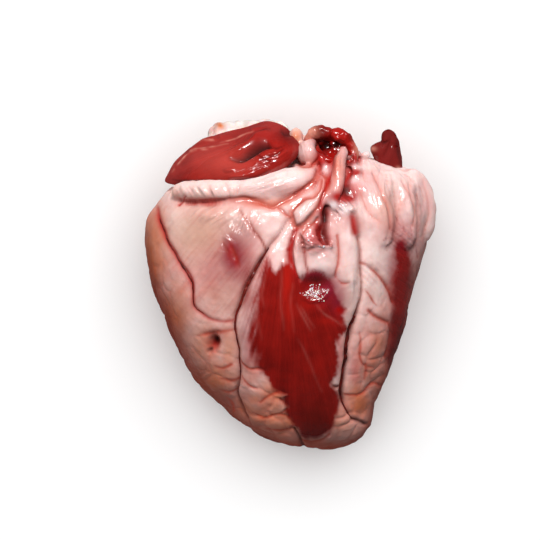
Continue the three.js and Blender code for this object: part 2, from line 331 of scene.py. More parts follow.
# %% Rolls and lumps
UP = np.array([0.0, 0.0, 1.0])
BESIDE = 0.05  # mm on either side, from which a path's direction is read
HOOP_BESIDE = 0.02  # the same on a hoop, counted in its places
LEAF_BLUNT, LEAF_EDGE = 8, 0.8  # how blunt a leaf's ends are, and how square its long edges
LEAF_FALL = 0.4  # how much steeper a leaf gets towards its high edge


def roll(path, start, end, blunt=3.6, columns=28, rows=36):
    """A roll of flesh along a path, from one radius to another, with round ends."""
    at, whole = way_through(np.array(path, float), 3)

    def place(turn, along):
        distance = (along + 1) / 2 * whole
        ahead = unit(at(distance + BESIDE) - at(distance - BESIDE))
        side = unit(np.cross(ahead, UP))
        closing = (1 - np.minimum(np.abs(along), 1) ** blunt) ** (1 / blunt)
        radius = ((start + (end - start) * (along + 1) / 2) * closing)[..., None]
        lift = np.cross(side, ahead) * np.sin(turn)[..., None]
        return at(distance) + (side * np.cos(turn)[..., None] + lift) * radius

    return mould(columns, rows, place)


def roll_on_front(path, start, end, sunk, **shape):
    """A roll that lies on the body's front, its middle sunk below the surface."""
    return roll([(x, y, float(front_height(x, y)) - sunk) for x, y in path], start, end, **shape)


def lump(centre, radii, columns=32, rows=24):
    """An egg-shaped lobe."""

    def place(turn, along):
        ring = np.sqrt(np.maximum(1 - along**2, 0))
        egg = np.stack([np.cos(turn) * ring, along, np.sin(turn) * ring], axis=-1)
        return np.array(centre) + egg * np.array(radii)

    return mould(columns, rows, place)


def leaf(slices, slope, columns=240, rows=200):
    """A leaf of cut muscle along x. A slice holds its place, its low and high edge, the height of
    its middle and its thickness. The leaf falls away towards its high edge."""
    at, *measures = np.array(slices, float).T
    low_edge, high_edge, middle, thickness = [curve_through(at, m) for m in measures]

    def place(turn, along):
        x = at[0] + (along + 1) / 2 * (at[-1] - at[0])
        close = np.sqrt(np.maximum(1 - np.abs(along) ** LEAF_BLUNT, 0))
        half = (high_edge(x) - low_edge(x)) / 2 * close
        across = np.sign(np.cos(turn)) * np.abs(np.cos(turn)) ** LEAF_EDGE
        height = middle(x) - slope * half * (across + LEAF_FALL * across**2)
        height = height + np.sin(turn) * thickness(x) / 2 * close
        return np.stack([x, (low_edge(x) + high_edge(x)) / 2 + half * across, height], axis=-1)

    return mould(columns, rows, place)


def hoop(path, columns=220, rows=48):
    """A closed ring of flesh through places that carry a radius."""
    path = np.array(path, float)
    path = np.vstack([path[-2:], path, path[:3]])
    route = [curve_through(np.arange(len(path)) - 2, path[:, i]) for i in range(4)]
    along = np.linspace(0, len(path) - 5, columns, endpoint=False)
    middle = np.stack([part(along) for part in route[:3]], axis=-1)
    before, after = along - HOOP_BESIDE, along + HOOP_BESIDE
    ahead = unit(np.stack([part(after) - part(before) for part in route[:3]], axis=-1))
    side = unit(np.cross(ahead, UP))
    turn = (np.arange(rows) * 2 * np.pi / rows)[None, :, None]
    ring = side[:, None] * np.cos(turn) + np.cross(side, ahead)[:, None] * np.sin(turn)
    points = (middle[:, None] + ring * route[3](along)[:, None, None]).reshape(-1, 3)
    faces = []
    for a, r in product(range(columns), range(rows)):
        b, q = (a + 1) % columns, (r + 1) % rows
        faces.append((a * rows + r, b * rows + r, b * rows + q, a * rows + q))
    return facing_out(points, faces)


def under_pixel(right, down, height):
    """The place at a height that shows at a pixel."""
    scale = PIXEL * (CAMERA_DISTANCE + OUTLINE_HEIGHT + SAG - height) / CAMERA_DISTANCE
    x = CAMERA_X + (right - MIDDLE_PIXEL) * scale
    return x, CAMERA_Y + (MIDDLE_PIXEL - down) * scale, height


def lumps_seen(rows):
    """Lumps by the pixel that they show at, their height and their three radii."""
    return [lump(under_pixel(*row[:3]), row[3:]) for row in rows]


FLAP_ROLL = [  # x, y, and how high its middle lies over the body's front
    (-31.8, 25.6, 2.2), (-25, 25.5, 0), (-16, 25.4, -1.6), (-7, 26, -2.2), (1, 27.8, -1.7),
    (8, 30.2, -0.9),
]
FLAP_ROLL = [(x, y, float(front_height(x, y)) + over) for x, y, over in FLAP_ROLL]
VESSEL_TUBE = [(13.8, 37.2, 44.4), (13.2, 31.2, 48.8), (12.6, 25.8, 51), (11.7, 20.6, 50.2)]
base_forms = [
    lump((-6, 29.6, 24), (24, 13.4, 17), 64, 48),  # the atria, behind the flap
    lump((11.6, 29, 30), (11.8, 11.4, 16), 48, 36),  # root of the great vessels
    roll(FLAP_ROLL, 3.1, 5.3),
    lump((5.9, 36.1, 42.5), (3.9, 4.0, 5)),  # pink lobe beside the mouth
    lump((1.8, 40.6, 39), (2, 2.8, 4)),  # orange nodule at the flap's end
    roll_on_front([(0.6, 16.4), (9.4, 23.8)], 3.5, 3.8, 1.5),
    roll_on_front([(9.6, 32), (9.4, 26), (6.6, 20.5)], 2.5, 2.7, 0.4),
    roll_on_front([(3.4, 18), (7.2, 7.6)], 3.6, 3.8, 2.4),
    roll_on_front([(1.4, 14), (2.2, 0.6)], 2.6, 2.4, 1.6),
    roll_on_front([(7.4, 9.4), (12, 2)], 5, 4.4, 3.7),
    roll(VESSEL_TUBE, 2.6, 2.8, blunt=7),
    roll_on_front([(14, 24.6), (15.2, 13), (15.6, -1)], 4.4, 4.2, 3),
    roll_on_front([(18.8, 33), (23.4, 23), (24.4, 9)], 4.8, 4.6, 3.3),  # ridges of the shoulder
    roll_on_front([(26, 31), (30.4, 22), (31, 10)], 4.4, 4.4, 3.1),
    roll([(31.6, 31.4, 35), (36.2, 23.4, 32.5), (36.4, 12, 29.5)], 4.6, 4),
    roll([(12, 33, 33), (11.6, 37, 36.5), (11.6, 38.6, 39)], 6.4, 5.6),  # stump of the great vessel
]
TORN_BITS = [  # tissue beside the tube: pixel right, pixel down, height and three radii in mm
    (319, 173, 45.6, 1.5, 1.7, 1.7), (325, 168, 46.2, 1.1, 1.6, 1.4), (322, 160, 45.2, 0.7, 2.2, 1.3),
    (313, 170, 45.4, 1.2, 1.3, 1.3), (353, 167, 45.2, 1.5, 1.1, 1.3), (359, 169, 44.8, 1.1, 1.2, 1.2),
    (356, 177, 46.2, 1.6, 1.8, 1.5), (351, 186, 46.4, 1.4, 2.2, 1.6), (354, 158, 43, 1.3, 2.6, 2),
    (365, 155, 41, 1.8, 1.3, 1.6),
]
base_forms += lumps_seen(TORN_BITS)
SHREDS = [  # torn tissue in the cleft and under the vessel: pixel right, pixel down, size in mm
    (307, 241, 1.1), (312, 245, 1.3), (318, 242, 1.0), (323, 246, 1.2), (329, 246, 1.1),
    (303, 236, 1.0), (314, 238, 0.8), (339, 208, 1.2), (345, 205, 1.4), (350, 210, 1.3),
    (343, 213, 1.0),
]
SHRED_LEVEL = 48  # about how high the flesh stands there, in mm
SHRED_OUT, SHRED_FLATTER = 0.5, 0.8
for across, down, size in SHREDS:
    x, y, _ = under_pixel(across, down, SHRED_LEVEL)
    middle = (x, y, float(front_height(x, y)) + SHRED_OUT)
    base_forms.append(lump(middle, (size, size * SHRED_FLATTER, size)))
print("forms round the base:", len(base_forms))

# %% [markdown]
# The weld gives small, even faces everywhere, because the creases that follow need them. The side
# that the heart lies on has no fine creases, so its faces are thinned out towards the floor. That
# keeps the piece below the number of faces past which its mesh file would be coarsened.

# %% Weld the forms into one skin
VOXEL = 0.00046  # metres
SMOOTHING = 6  # steps
BODY_COLUMNS, BODY_ROWS = 200, 150
KEPT_SHARE = 0.76
ALL_KEPT_ABOVE, MOST_THINNED_BELOW = 0.018, 0.008  # metres over the floor


def welded(name, forms, voxel, smoothing):
    """Forms joined into one closed skin by a voxel remesh, then smoothed a little."""
    points, faces = joined(forms)
    points[:, 2] -= SAG
    rough = piece_from(name + "_forms", points, faces)
    remesh = rough.modifiers.new("weld", "REMESH")
    remesh.mode = "VOXEL"
    remesh.voxel_size = voxel
    smooth = rough.modifiers.new("smooth", "SMOOTH")
    smooth.iterations = smoothing
    mesh = settled_mesh(rough, name)
    mesh.shade_smooth()
    bpy.data.objects.remove(rough)
    return placed(name, mesh)


def thinned_behind(piece, share, high, low):
    """Thins the faces of a piece on the side that it lies on: none above the height high, and
    most below the height low, in metres."""
    back = piece.vertex_groups.new(name="back")
    for point in piece.data.vertices:
        weight = (high - point.co.z) / (high - low)
        if weight > 0:
            back.add([point.index], min(weight, 1), "REPLACE")
    thin = piece.modifiers.new("thin", "DECIMATE")
    thin.ratio = share
    thin.vertex_group = back.name
    mesh = settled_mesh(piece, piece.name)
    piece.modifiers.remove(thin)
    piece.vertex_groups.clear()
    piece.data = mesh
    mesh.shade_smooth()


body = mould(BODY_COLUMNS, BODY_ROWS, ventricle)
flesh = welded("flesh", [body, *base_forms], VOXEL, SMOOTHING)
before = len(flesh.data.vertices)
thinned_behind(flesh, KEPT_SHARE, ALL_KEPT_ABOVE, MOST_THINNED_BELOW)
print("flesh:", before, "points, thinned to", len(flesh.data.vertices))

# %% [markdown]
# ## Creases, pits and colours
# Fat lies in lobes with creases between them. A crease is a line in the picture: next to it the
# skin dips in a narrow cut inside a wide, soft valley, so that the lobes on both sides look
# filled. The same line also carries colour, because thin blood stays in the creases. We note for
# each crease how deep and wide it is and what colour it holds.

# %% Distances in the picture
LINE_STEP = 2.0  # pixels between the points of a line


def smooth_line(corners, step):
    """A smooth line through corners, as closely spaced points. Corners may carry a third number,
    the line's strength there."""
    at, whole = way_through(np.array([(*c, 1.0)[:3] for c in corners], float), 2)
    return at(np.linspace(0, whole, max(int(whole / step), 2) + 1))


def distance_to_line(pixels, corners, reach):
    """How far each pixel is from a line through corners, and the line's strength beside it.
    Pixels further than reach are left at infinity."""
    line = smooth_line(corners, LINE_STEP)
    distance, strength = np.full(len(pixels), np.inf), np.zeros(len(pixels))
    low, high = line[:, :2].min(axis=0) - reach, line[:, :2].max(axis=0) + reach
    near = np.where(((pixels > low) & (pixels < high)).all(axis=1))[0]
    here = pixels[near]
    best, force = np.full(len(near), np.inf), np.zeros(len(near))
    for a, b in zip(line[:-1], line[1:]):
        run = b[:2] - a[:2]
        t = np.clip((here - a[:2]) @ run / max(run @ run, 1e-9), 0, 1)
        gap = np.linalg.norm(here - a[:2] - t[:, None] * run, axis=1)
        closer = gap < best
        best = np.where(closer, gap, best)
        force = np.where(closer, a[2] + (b[2] - a[2]) * t, force)
    distance[near], strength[near] = best, force
    return distance, strength


def inside_by(pixels, corners):
    """How far inside a closed outline each pixel is; outside it the answer is negative."""
    corners = np.array(corners, float)
    gap, inside = np.full(len(pixels), np.inf), np.zeros(len(pixels), bool)
    x, y = pixels.T
    for a, b in zip(corners, np.roll(corners, -1, axis=0)):
        run = b - a
        t = np.clip((pixels - a) @ run / (run @ run), 0, 1)
        gap = np.minimum(gap, np.linalg.norm(pixels - a - t[:, None] * run, axis=1))
        crosses = (a[1] > y) != (b[1] > y)
        inside ^= crosses & (x < a[0] + (y - a[1]) * run[0] / (run[1] if run[1] else 1e-9))
    return np.where(inside, gap, -gap)


def away_from(pixels, centre, half):
    """How far each pixel is from a centre, counted in half sizes."""
    return np.linalg.norm((pixels - np.array(centre)) / np.array(half), axis=1)


def patch(pixels, right, down, wide, tall):
    """1 in the middle of a soft round patch of those half sizes, fading to 0 outside it."""
    return bell(away_from(pixels, (right, down), (wide, tall)), 1)


def patches(pixels, rows):
    """The strongest of several patches. A row is a patch's four numbers and its strength."""
    return np.max([patch(pixels, *row) * strength for *row, strength in rows], axis=0)


# %% What a skin is told by the picture
# Some of these marks are painted light: the darker lower sides are painted shade, the duller beige is
# partly painted shade, and some white and pale spots are painted highlights.
MARKS = (
    "warm", "flush", "dull_beige_and_shade", "halo", "painted_rim_shade", "edge", "rust", "bruise", "muscle", "bright", "maroon",
    "blood", "dark", "white_tissue_and_glint", "clot", "pale",
)


def skin_of(piece, sunk=0.0):
    """All that the shaping of a piece starts from: its points in millimetres, lowered by so much,
    their outward directions, the pixels that they show at, and marks that are still empty."""
    points, normals = points_of(piece)
    points[:, 2] -= sunk
    return points, normals, seen_at(points), {name: np.zeros(len(points)) for name in MARKS}


def deepen(marks, name, values):
    """Makes a mark at least as strong as the values."""
    marks[name] = np.maximum(marks[name], values)


MOST_CUT = 1.3  # strength past which a crease gets no deeper
THINNEST_LINE, LINE_BLUR = 0.05, 0.3
HALO = 0.75  # strength of the blush beside a crease
HALO_REACH, HALO_BLUR = 2.2, 1.5  # how wide it is: so many coloured lines, and pixels more


def press_creases(pixels, creases, weight, marks):
    """How deep the creases press each point in, in mm. Their colours are added to marks."""
    depth, valley = np.zeros(len(pixels)), np.zeros(len(pixels))
    for corners, deep, wide, dip, spread, tint, line in creases.values():
        away, strength = distance_to_line(pixels, corners, spread * 3)
        depth = np.maximum(depth, deep * np.minimum(strength, MOST_CUT) * bell(away, wide))
        valley = np.maximum(valley, dip * np.sqrt(np.maximum(strength, 0)) * np.exp(-away / spread))
        half = line * np.maximum(strength, THINNEST_LINE)
        stain = np.minimum(strength, 1) * bell(away, half + LINE_BLUR)
        halo = HALO * np.sqrt(np.minimum(strength, 1)) * np.exp(-away / (HALO_REACH * half + HALO_BLUR))
        deepen(marks, tint, stain * weight)
        deepen(marks, "halo", halo * weight)
    return (depth + valley) * weight


def ridge_height(pixels, ridges):
    """How high ridges stand at each point, in mm. A ridge is (corners, height, half width)."""
    height = np.zeros(len(pixels))
    for corners, high, wide in ridges:
        away, strength = distance_to_line(pixels, corners, wide * 3)
        height = np.maximum(height, high * strength * bell(away, wide))
    return height


def add_tints(pixels, tints, weight, marks):
    """Adds soft patches of tint."""
    for name, rows in tints.items():
        deepen(marks, name, patches(pixels, rows) * weight)


def keep(mesh, name, values):
    """Stores one number a point on a mesh, for a material or a node tree to read."""
    attribute = mesh.attributes.new(name, "FLOAT", "POINT")
    attribute.data.foreach_set("value", np.asarray(values, np.float32))


def keep_marks(piece, marks):
    for name, values in marks.items():
        keep(piece.data, name, np.clip(values, 0, 1))


def keep_fibres(piece, across, along, gloss):
    """Stores which way muscle fibres run on a piece, and how glossy it is."""
    for name, values in {"fibre_across": across, "fibre_along": along, "gloss": gloss}.items():
        keep(piece.data, name, values)


# %% The creases of the front
# name: corners in pixels, depth in mm, width in pixels, depth and width of the valley, colour,
# width of the coloured line in pixels
CREASES = {
    "left furrow": ([(289, 218, 0.5), (280, 232, 0.6), (266, 249, 0.8), (258, 264, 1.2), (249, 281, 1.2),
        (241, 299), (235, 315, 0.9), (234, 328, 0.65), (236, 345, 0.6), (238, 360, 0.6), (238, 377, 0.6),
        (236, 392, 0.55), (239, 406, 0.5), (246, 419, 0.35)], 1.1, 2.2, 1.3, 11, "dark", 1.7),
    "margin": ([(157, 207, 0.7), (158, 218), (163, 234), (172, 250), (179, 262), (187, 274, 1.2),
        (191, 284), (192, 297, 0.8), (194, 306, 0.8), (201, 313, 0.8), (210, 319, 0.7), (221, 322, 0.6),
        (232, 322, 0.7)], 0.26, 2.2, 0.5, 9, "blood", 2.4),
    "right furrow": ([(360, 238, 0.3), (362, 252, 0.35), (362, 270, 0.4), (363, 288, 0.45),
        (361, 305, 0.6), (357, 319, 0.9), (353, 332, 1.4), (349, 348, 1.2), (347, 364, 1.1),
        (345, 380, 1.1), (343, 396, 1.2), (347, 410, 0.6), (354, 421, 0.5)],
        1.2, 2.4, 1.2, 10, "dark", 1.8),
    "gap under the roll": ([(178, 200, 0.4), (184, 202, 0.6), (192, 203, 0.7), (203, 203, 0.8),
        (216, 202, 0.7), (230, 200, 0.5)], 1.2, 2.6, 0.5, 5, "blood", 2.2),
    "slit in the gap": ([(179, 205), (185, 197, 0.7)], 0.4, 1.2, 0, 4, "blood", 1),
    "fold under the roll": ([(230, 200, 0.6), (248, 200), (262, 203), (272, 206), (284, 201), (296, 195),
        (307, 188), (316, 179), (319, 168, 0.7)], 0.59, 2.4, 0.51, 7, "rust", 3.4),
    "roll fold a": ([(209, 184, 0.4), (211, 192, 0.7), (210, 200, 0.4)], 0.25, 2, 0.26, 5, "halo", 0.8),
    "roll fold b": ([(227, 186, 0.4), (229, 193, 0.7), (228, 200, 0.4)], 0.25, 2, 0.26, 5, "halo", 0.8),
    "roll fold c": ([(241, 185, 0.4), (238, 192, 0.7), (237, 199, 0.4)], 0.25, 2, 0.26, 5, "halo", 1),
    "roll fold d": ([(193, 186, 0.3), (190, 193, 0.4), (188, 199, 0.3)], 0.2, 1.8, 0.26, 5, "halo", 0.6),
    "left lobe": ([(238, 208, 0.4), (242, 214, 0.6), (247, 219, 0.7), (253, 228), (259, 237), (263, 244),
        (265, 250)], 0.33, 1.8, 0.51, 8, "maroon", 0.9),
    "lobe fold": ([(276, 205), (283, 211), (290, 218, 1.2)], 0.45, 1.8, 0.51, 7, "rust", 1.6),
    "under lobe c": ([(291, 212), (291, 220), (295, 227), (302, 226), (309, 220), (316, 210), (321, 201),
        (326, 191), (328, 180), (327, 170)], 0.52, 2, 0.51, 7, "rust", 2.4),
    "over lobe c": ([(291, 212), (297, 205), (305, 199), (313, 197), (319, 189), (321, 180)],
        0.39, 1.8, 0.42, 6, "rust", 1.8),
    "left of the slender lobe": ([(296, 229), (293, 238), (290, 250, 1.3), (291, 262, 1.3), (295, 272),
        (300, 281)], 0.52, 2, 0.51, 6, "blood", 1.6),
    "right of the slender lobe": ([(299, 234), (302, 243), (305, 254), (306, 264), (308, 271)],
        0.45, 1.6, 0.42, 5, "maroon", 1),
    "lobe f": ([(300, 236, 0.6), (306, 228), (314, 223), (318, 218)], 0.33, 1.6, 0.34, 5, "rust", 1.5),
    "lobe h": ([(304, 252, 0.5), (312, 249), (322, 249), (331, 246, 0.6)],
        0.26, 1.6, 0.26, 5, "rust", 1.2),
    "middle mass": ([(337, 236), (338, 250), (338, 263), (336, 277)], 0.2, 1.8, 0.34, 6, "rust", 0.9),
    "middle tip": ([(338, 280, 0.5), (343, 284), (349, 283, 0.5)], 0.2, 1.6, 0.34, 5, "rust", 0.8),
    "upper leaf": ([(362, 264), (369, 267), (377, 273), (384, 281), (390, 290), (394, 302)],
        0.39, 1.8, 0.51, 8, "rust", 1.3),
    "between the leaves": ([(370, 311), (376, 317), (382, 320), (389, 323)],
        0.32, 1.8, 0.45, 8, "rust", 2),
    "lower leaf": ([(389, 323), (391, 334), (389, 346), (386, 357)], 0.17, 1.4, 0.27, 7, "rust", 0.9),
    "leaf vein": ([(366, 290, 0.4), (372, 300), (378, 306, 0.4)], 0.13, 1.6, 0.26, 6, "rust", 0.8),
    "strip": ([(361, 334, 0.5), (361, 348), (361, 360), (366, 366), (374, 368, 0.6)],
        0.17, 1.4, 0.34, 7, "rust", 1),
    "strip foot": ([(366, 364), (367, 372), (365, 380, 0.6)], 0.14, 1.4, 0.21, 5, "rust", 1.3),
    "lowest leaf": ([(347, 397), (357, 396), (364, 393), (369, 387), (374, 383), (381, 386)],
        0.2, 1.4, 0.34, 8, "rust", 1),
    "notch": ([(331, 385, 0.6), (336, 389, 1.1), (343, 389)], 0.5, 2, 0.17, 5, "maroon", 1.6),
    "right foot": ([(354, 421), (361, 422, 1.2), (366, 424)], 0.45, 2, 0.34, 6, "dark", 1.4),
    "first left band": ([(239, 361, 0.7), (243, 366), (249, 370), (258, 370), (265, 372, 0.6)],
        0.2, 1.4, 0.34, 8, "rust", 0.9),
    "second left band": ([(240, 378, 0.6), (246, 384), (252, 388), (257, 389, 0.5)],
        0.17, 1.4, 0.34, 7, "rust", 0.8),
    "third left band": ([(261, 402), (267, 397), (274, 394), (282, 393), (289, 395, 0.6)],
        0.17, 1.4, 0.27, 7, "rust", 0.9),
    "small lobe": ([(280, 399), (284, 403), (288, 408), (284, 412), (277, 415)],
        0.17, 1.4, 0.27, 6, "rust", 0.8),
    "foot lobe": ([(252, 414, 0.5), (264, 418), (277, 415), (286, 417), (293, 425), (288, 430),
        (276, 431), (266, 430, 0.5)], 0.17, 1.5, 0.41, 8, "rust", 1),
    "foot fold": ([(294, 429), (299, 437), (302, 445), (304, 451)], 0.52, 2, 0.42, 7, "dark", 1.2),
    "under the muscle": ([(302, 441), (312, 442), (322, 440), (330, 435)],
        0.2, 1.5, 0.34, 7, "rust", 0.9),
    "left wrinkle a": ([(220, 379, 0.4), (229, 382), (237, 381)], 0.14, 1.7, 0.27, 6, "rust", 1.6),
    "left wrinkle b": ([(219, 390, 0.4), (228, 394), (236, 392)], 0.14, 1.7, 0.27, 6, "rust", 1),
    "left wrinkle c": ([(226, 399, 0.5), (231, 405), (233, 412)], 0.14, 1.7, 0.27, 6, "rust", 1),
    "left wrinkle d": ([(196, 336, 0.3), (206, 334), (218, 333), (232, 331, 0.6)],
        0.2, 2.4, 0.34, 8, "rust", 2.2),
    "left wrinkle e": ([(214, 366, 0.4), (222, 369), (231, 366)], 0.16, 2, 0.26, 6, "rust", 1.2),
    "shoulder a": ([(374, 172), (380, 186), (386, 198), (390, 208), (392, 219), (391, 229)],
        0.33, 1.8, 0.5, 7, "halo", 1.4),
    "shoulder b": ([(401, 192, 0.6), (400, 204), (397, 216, 0.6)], 0.18, 1.8, 0.24, 6, "halo", 1),
    "shoulder c": ([(402, 179, 0.6), (409, 190), (414, 200), (417, 212), (413, 226)],
        0.27, 1.8, 0.3, 7, "halo", 1),
    "shoulder d": ([(425, 180, 0.5), (428, 194, 0.8), (429, 208, 0.8), (427, 222, 0.8), (422, 238, 0.6)],
        0.22, 1.8, 0.3, 6, "halo", 0.9),
    "shoulder e": ([(359, 186, 0.5), (362, 196), (366, 206), (372, 216), (381, 222, 0.6)],
        0.18, 1.6, 0.24, 5, "halo", 1),
    "left of the vessel": ([(331, 156), (329, 172), (326, 186), (323, 198), (320, 208)],
        0.8, 1.8, 0.4, 5, "blood", 1.8),
    "right of the vessel": ([(350, 157), (349, 170), (348, 182, 1.2), (346, 193, 1.2), (342, 201)],
        0.8, 1.8, 0.4, 5, "blood", 2.4),
    "under the pink lobe": ([(296, 161, 0.7), (304, 165), (313, 164), (320, 158)],
        0.39, 1.8, 0.34, 6, "rust", 1.8),
    "knot": ([(318, 163), (320, 171), (326, 178), (324, 190), (320, 198)],
        0.33, 1.6, 0.26, 5, "rust", 1.6),
    "red mark": ([(352, 214, 0.8), (353, 222, 1.3), (356, 231, 1.2), (358, 236, 0.6)],
        0.2, 2, 0, 5, "blood", 4.4),
    "cleft top": ([(327, 208, 0.7), (326, 214), (326, 220)], 1.8, 2.8, 0.4, 6, "clot", 2.2),
    "cleft": ([(325, 222), (323, 232, 1.2), (326, 244, 0.8)], 1.8, 4, 0.5, 6, "blood", 4.6),
    "dark of the cleft": ([(325, 224), (324, 233), (327, 241, 0.8)], 0, 2, 0, 5, "dark", 1.4),
    "first slit in the bruise": ([(223, 241, 0.3), (227, 250, 0.8), (230, 261, 0.3)],
        0.3, 1.8, 0, 5, "maroon", 2.2),
    "second slit in the bruise": ([(231, 243, 0.3), (234, 252, 1.1), (239, 267, 0.5)],
        0.35, 2, 0, 5, "maroon", 2.8),
}
SHOULDER_FOOT = [  # hair-fine vessels that cross where the shoulder meets the muscle
    [(391, 229), (396, 233), (403, 238), (409, 246)], [(396, 217), (401, 227), (408, 235), (415, 241)],
    [(384, 240), (390, 238), (397, 243), (402, 251)], [(411, 226), (412, 236), (416, 247), (418, 258)],
    [(404, 226), (402, 235), (396, 240), (387, 247)],
]
FAINT_CREASE = (0.12, 1.1, 0.08, 4, "bruise", 0.6)
for number, corners in enumerate(SHOULDER_FOOT, 1):
    faint = [(*corner, 0.5) for corner in corners]
    CREASES[f"shoulder foot {number}"] = (faint, *FAINT_CREASE)
print("creases:", len(CREASES))

# %% [markdown]
# The back is hidden in the picture, so it is finished as a heart's back is: one furrow for the
# hind vessel, a fold under the atria, and a few creases in its fat.

# %% The creases of the back
BACK_CREASES = {
    "hind furrow": ([(267, 200), (280, 250, 1.2), (296, 315), (312, 375), (320, 425, 0.7)],
        1.2, 2.6, 1.6, 12, "dark", 1.6),
    "hind atrial fold": ([(150, 204), (215, 195), (289, 193), (360, 195), (432, 206)],
        1.6, 3.2, 1.4, 10, "maroon", 2),
    "hind left lobe": ([(180, 205), (192, 240), (215, 262), (276, 262)], 0.5, 2, 0.7, 10, "maroon", 1),
    "hind right lobe": ([(400, 208), (380, 240), (350, 262), (286, 282)], 0.5, 2, 0.7, 10, "rust", 1.4),
    "hind low lobe": ([(302, 340), (335, 350), (365, 335)], 0.5, 2, 0.6, 9, "maroon", 0.9),
    "hind low left": ([(300, 330), (262, 345), (215, 335)], 0.5, 2, 0.6, 9, "rust", 1.2),
}

# %% Pits, ridges, and where muscle shows
# centre, half width and half height in pixels, and depth in mm
PITS = {
    "wet pit": ((315, 286), (13, 10), 1.7),
    "puncture": ((213, 344), (5.6, 8), 2.1),
    "puncture foot": ((209, 352), (2.2, 2.6), 0.8),
    "mouth": ((328, 145), (10, 8), 4.0),
}
RIDGES = [
    ([(225, 237), (230, 241), (234, 246, 0.6)], 0.35, 1.3),  # wet edge over the bruise
    ([(284, 262), (286, 285), (284, 310), (281, 335, 0.4)], 0.3, 2.4),  # bright streak of muscle
    ([(303, 296, 0.6), (312, 301), (322, 299), (329, 292, 0.5)], 0.5, 2.2),  # rim of the wet pit
    ([(278, 393, 0.6), (284, 396), (290, 396, 0.4)], 0.3, 1.2),
    ([(243, 217, 0.8), (246, 224), (249, 231, 0.7)], 0.5, 4.6),  # small lobes that catch the light
    ([(201, 216, 0.6), (209, 215), (216, 213, 0.6)], 0.3, 3.6),
    ([(220, 222, 0.6), (228, 216), (236, 209, 0.7)], 0.32, 3.4),
    ([(251, 209, 0.7), (259, 207, 0.7)], 0.3, 4),
]
MUSCLE = [
    (288, 262), (286, 250), (289, 238), (292, 230), (295, 230), (292, 242), (291, 256), (294, 269),
    (301, 280), (305, 273), (313, 270), (322, 274), (330, 281), (334, 292), (341, 303), (346, 310),
    (342, 316), (346, 324), (351, 330), (347, 336), (341, 336), (338, 348), (339, 362), (337, 376),
    (332, 386), (338, 394), (341, 402), (339, 410), (336, 420), (331, 431), (322, 438), (312, 440),
    (301, 438), (297, 431), (291, 421), (284, 413), (287, 408), (281, 400), (286, 395), (276, 393),
    (267, 381), (259, 371), (253, 362), (247, 345), (246, 325), (249, 305), (253, 286), (260, 268),
    (266, 259), (271, 264), (276, 274), (281, 262), (284, 266),
]
RIGHT_MUSCLE = [
    (395, 241), (403, 240), (410, 250), (413, 268), (411, 288), (409, 306), (405, 326), (400, 346),
    (394, 362), (389, 372), (386, 360), (390, 340), (390, 325), (394, 308), (393, 292), (392, 280),
    (396, 264), (393, 250),
]
HIND_MUSCLES = [
    [(200, 275), (262, 275), (285, 315), (298, 365), (285, 405), (240, 380), (195, 330)],
    [(300, 290), (345, 275), (395, 250), (398, 300), (375, 350), (330, 400), (318, 360)],
]
